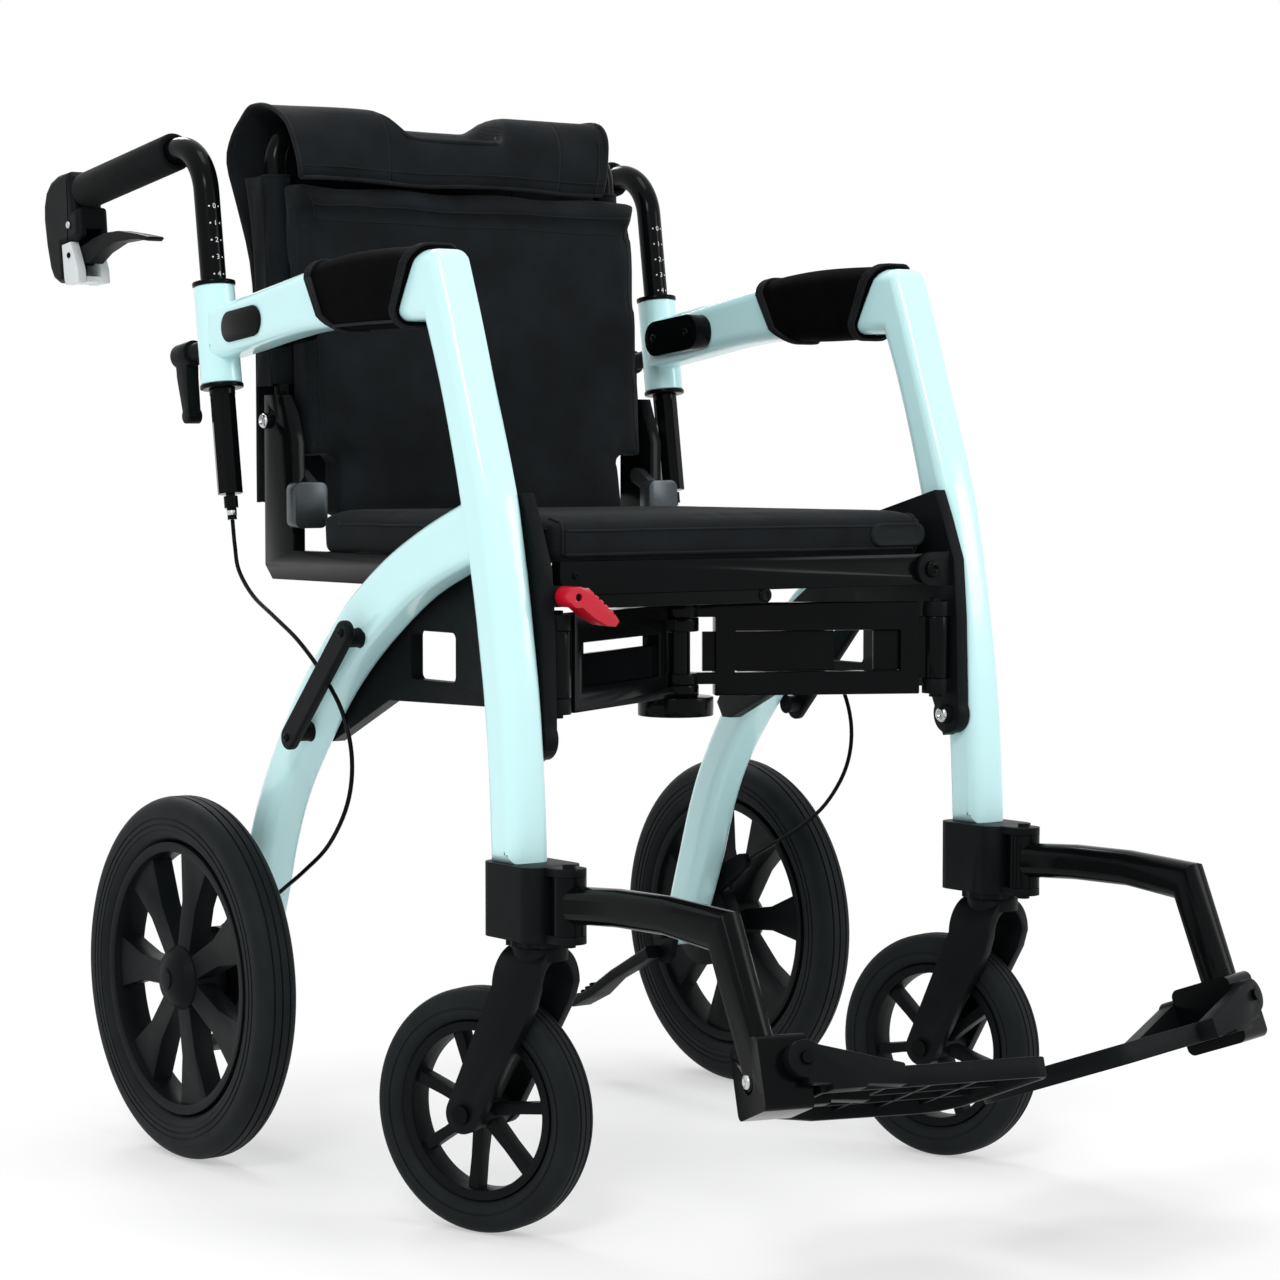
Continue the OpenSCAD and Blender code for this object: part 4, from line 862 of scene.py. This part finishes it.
# Point of a ring that lies on the seam under the armrest
WRAP_SEAM = 24
for name, s in SIDES:
    side = f"{name}_side"
    rings = [armrest_ring(s, share, grow) for share, grow in WRAP_RINGS]
    faces = ring_faces(len(rings), len(rings[0]))
    wrap = piece(f"armrest_wrap_{name}", [p for ring in rings for p in ring], faces, NEOPRENE, body=side,
                 slot="neoprene")
    wrap.modifiers.new("soften", "SUBSURF").render_levels = 1
    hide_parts(f"armrest_pad_{name}")
    for label, shares in (("front", (0.012, 0.036, 0.06)), ("back", (0.94, 0.964, 0.988))):
        for i, share in enumerate(shares):
            ring = armrest_ring(s, share, 4.2)
            tube(f"armrest_binding_{label}_{i}_{name}", ring + ring[:1], 0.0013, BINDING, sides=8, body=side,
                 slot="neoprene")
    seam = [armrest_ring(s, share, 4.1)[WRAP_SEAM] for share in np.linspace(0.05, 0.95, 16)]
    tube(f"armrest_seam_{name}", smooth_path(seam, 2), 0.0014, BINDING, sides=8, body=side, slot="neoprene")


# Fasteners, and the height scale on the stems
SCALE_FOOT, SCALE_PITCH, SCALE_ROWS = 93, 14.6, 5
for name, s in SIDES:
    side, handle = f"{name}_side", f"handle_{name}"
    screw(f"post_screw_{name}", at(s * 200, 28, 618), (s, 0, 0), 6.2, side)
    screw(f"lug_screw_{name}", at(s * 199.5, -392, 374), (-s, 0, 0), 6.5, side)
    screw(f"holder_screw_front_{name}", at(s * 197.5, -46, 700), (-s, 0, 0), 3.6, side, GLOSSY)
    screw(f"holder_screw_back_{name}", at(s * 197.5, 2, 696), (-s, 0, 0), 3.6, side, GLOSSY)
    screw(f"block_screw_{name}", on_plate(s, 246.6, 26, 0), on_plate(s, 1, 0, 0) - on_plate(s, 0, 0, 0), 5.4,
          f"footrest_{name}")
    screw(f"guard_screw_top_{name}", at(s * 270, *GUARD_TOP), (s, 0, 0), 3.4, side, GLOSSY)
    screw(f"guard_screw_low_{name}", at(s * 270, *GUARD_LOW), (s, 0, 0), 3.4, side, GLOSSY)
    turned(f"hub_cap_{name}", at(s * 315.5, 0, AXLE_Z), (s, 0, 0), [(9, 0), (9, 0.6), (7, 0.9), (2, 1.0)], MOULDED,
           body=f"rear_wheel_{name}", slot="black_plastic")
    screw(f"housing_screw_{name}", on_stem(s, 16.1, 222, GRIP_Z - 30), (s, 0, 0), 3.4, handle)
    screw(f"wedge_screw_{name}", on_stem(s, 16.1, 226, GRIP_Z - 57), (s, 0, 0), 2.6, handle, GLOSSY)
    for row in range(SCALE_ROWS):
        height = SCALE_FOOT + SCALE_PITCH * row
        for k in (-1, 1):
            turn = radians(24 * k)
            spot = on_stem(s, 10.9 * sin(turn), -10.9 * cos(turn), height)
            away = on_stem(s, sin(turn), -cos(turn), 0) - on_stem(s, 0, 0, 0)
            turned(f"stem_mark_{name}_{row}_{k + 1}", spot, away, [(0.8, 0), (0.8, 0.14)], MARK, sides=10,
                   body=handle, slot="grey_plastic")
        text = bpy.data.curves.new(f"stem_digit_{name}_{row}", "FONT")
        text.body = str(SCALE_ROWS - 1 - row)
        text.size = 0.0062
        text.align_x, text.align_y = "CENTER", "CENTER"
        text.extrude = 0.00005
        text.materials.append(MARK)
        digit = bpy.data.objects.new(f"stem_digit_{name}_{row}", text)
        digit.location = on_stem(s, 0, -11.0, height)
        digit.rotation_euler = (pi / 2 - STEM_TILT, 0, 0)
        scene.collection.objects.link(digit)
        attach(digit, handle)
screw("rail_tab_screw", at(183, -396.2, 495), (0, -1, 0), 7.0, "left_side", GLOSSY)
screw("rail_near_screw", at(-176, -391.7, 497), (0, -1, 0), 3.0, "seat_rail", GLOSSY)

# Floor
FLOOR_REACH, FLOOR_Z = 8, -0.0005
floor_corners = [(a * FLOOR_REACH, b * FLOOR_REACH, FLOOR_Z) for a, b in ((-1, -1), (1, -1), (1, 1), (-1, 1))]
floor = piece("floor", floor_corners, [(0, 1, 2, 3)], FLOOR)
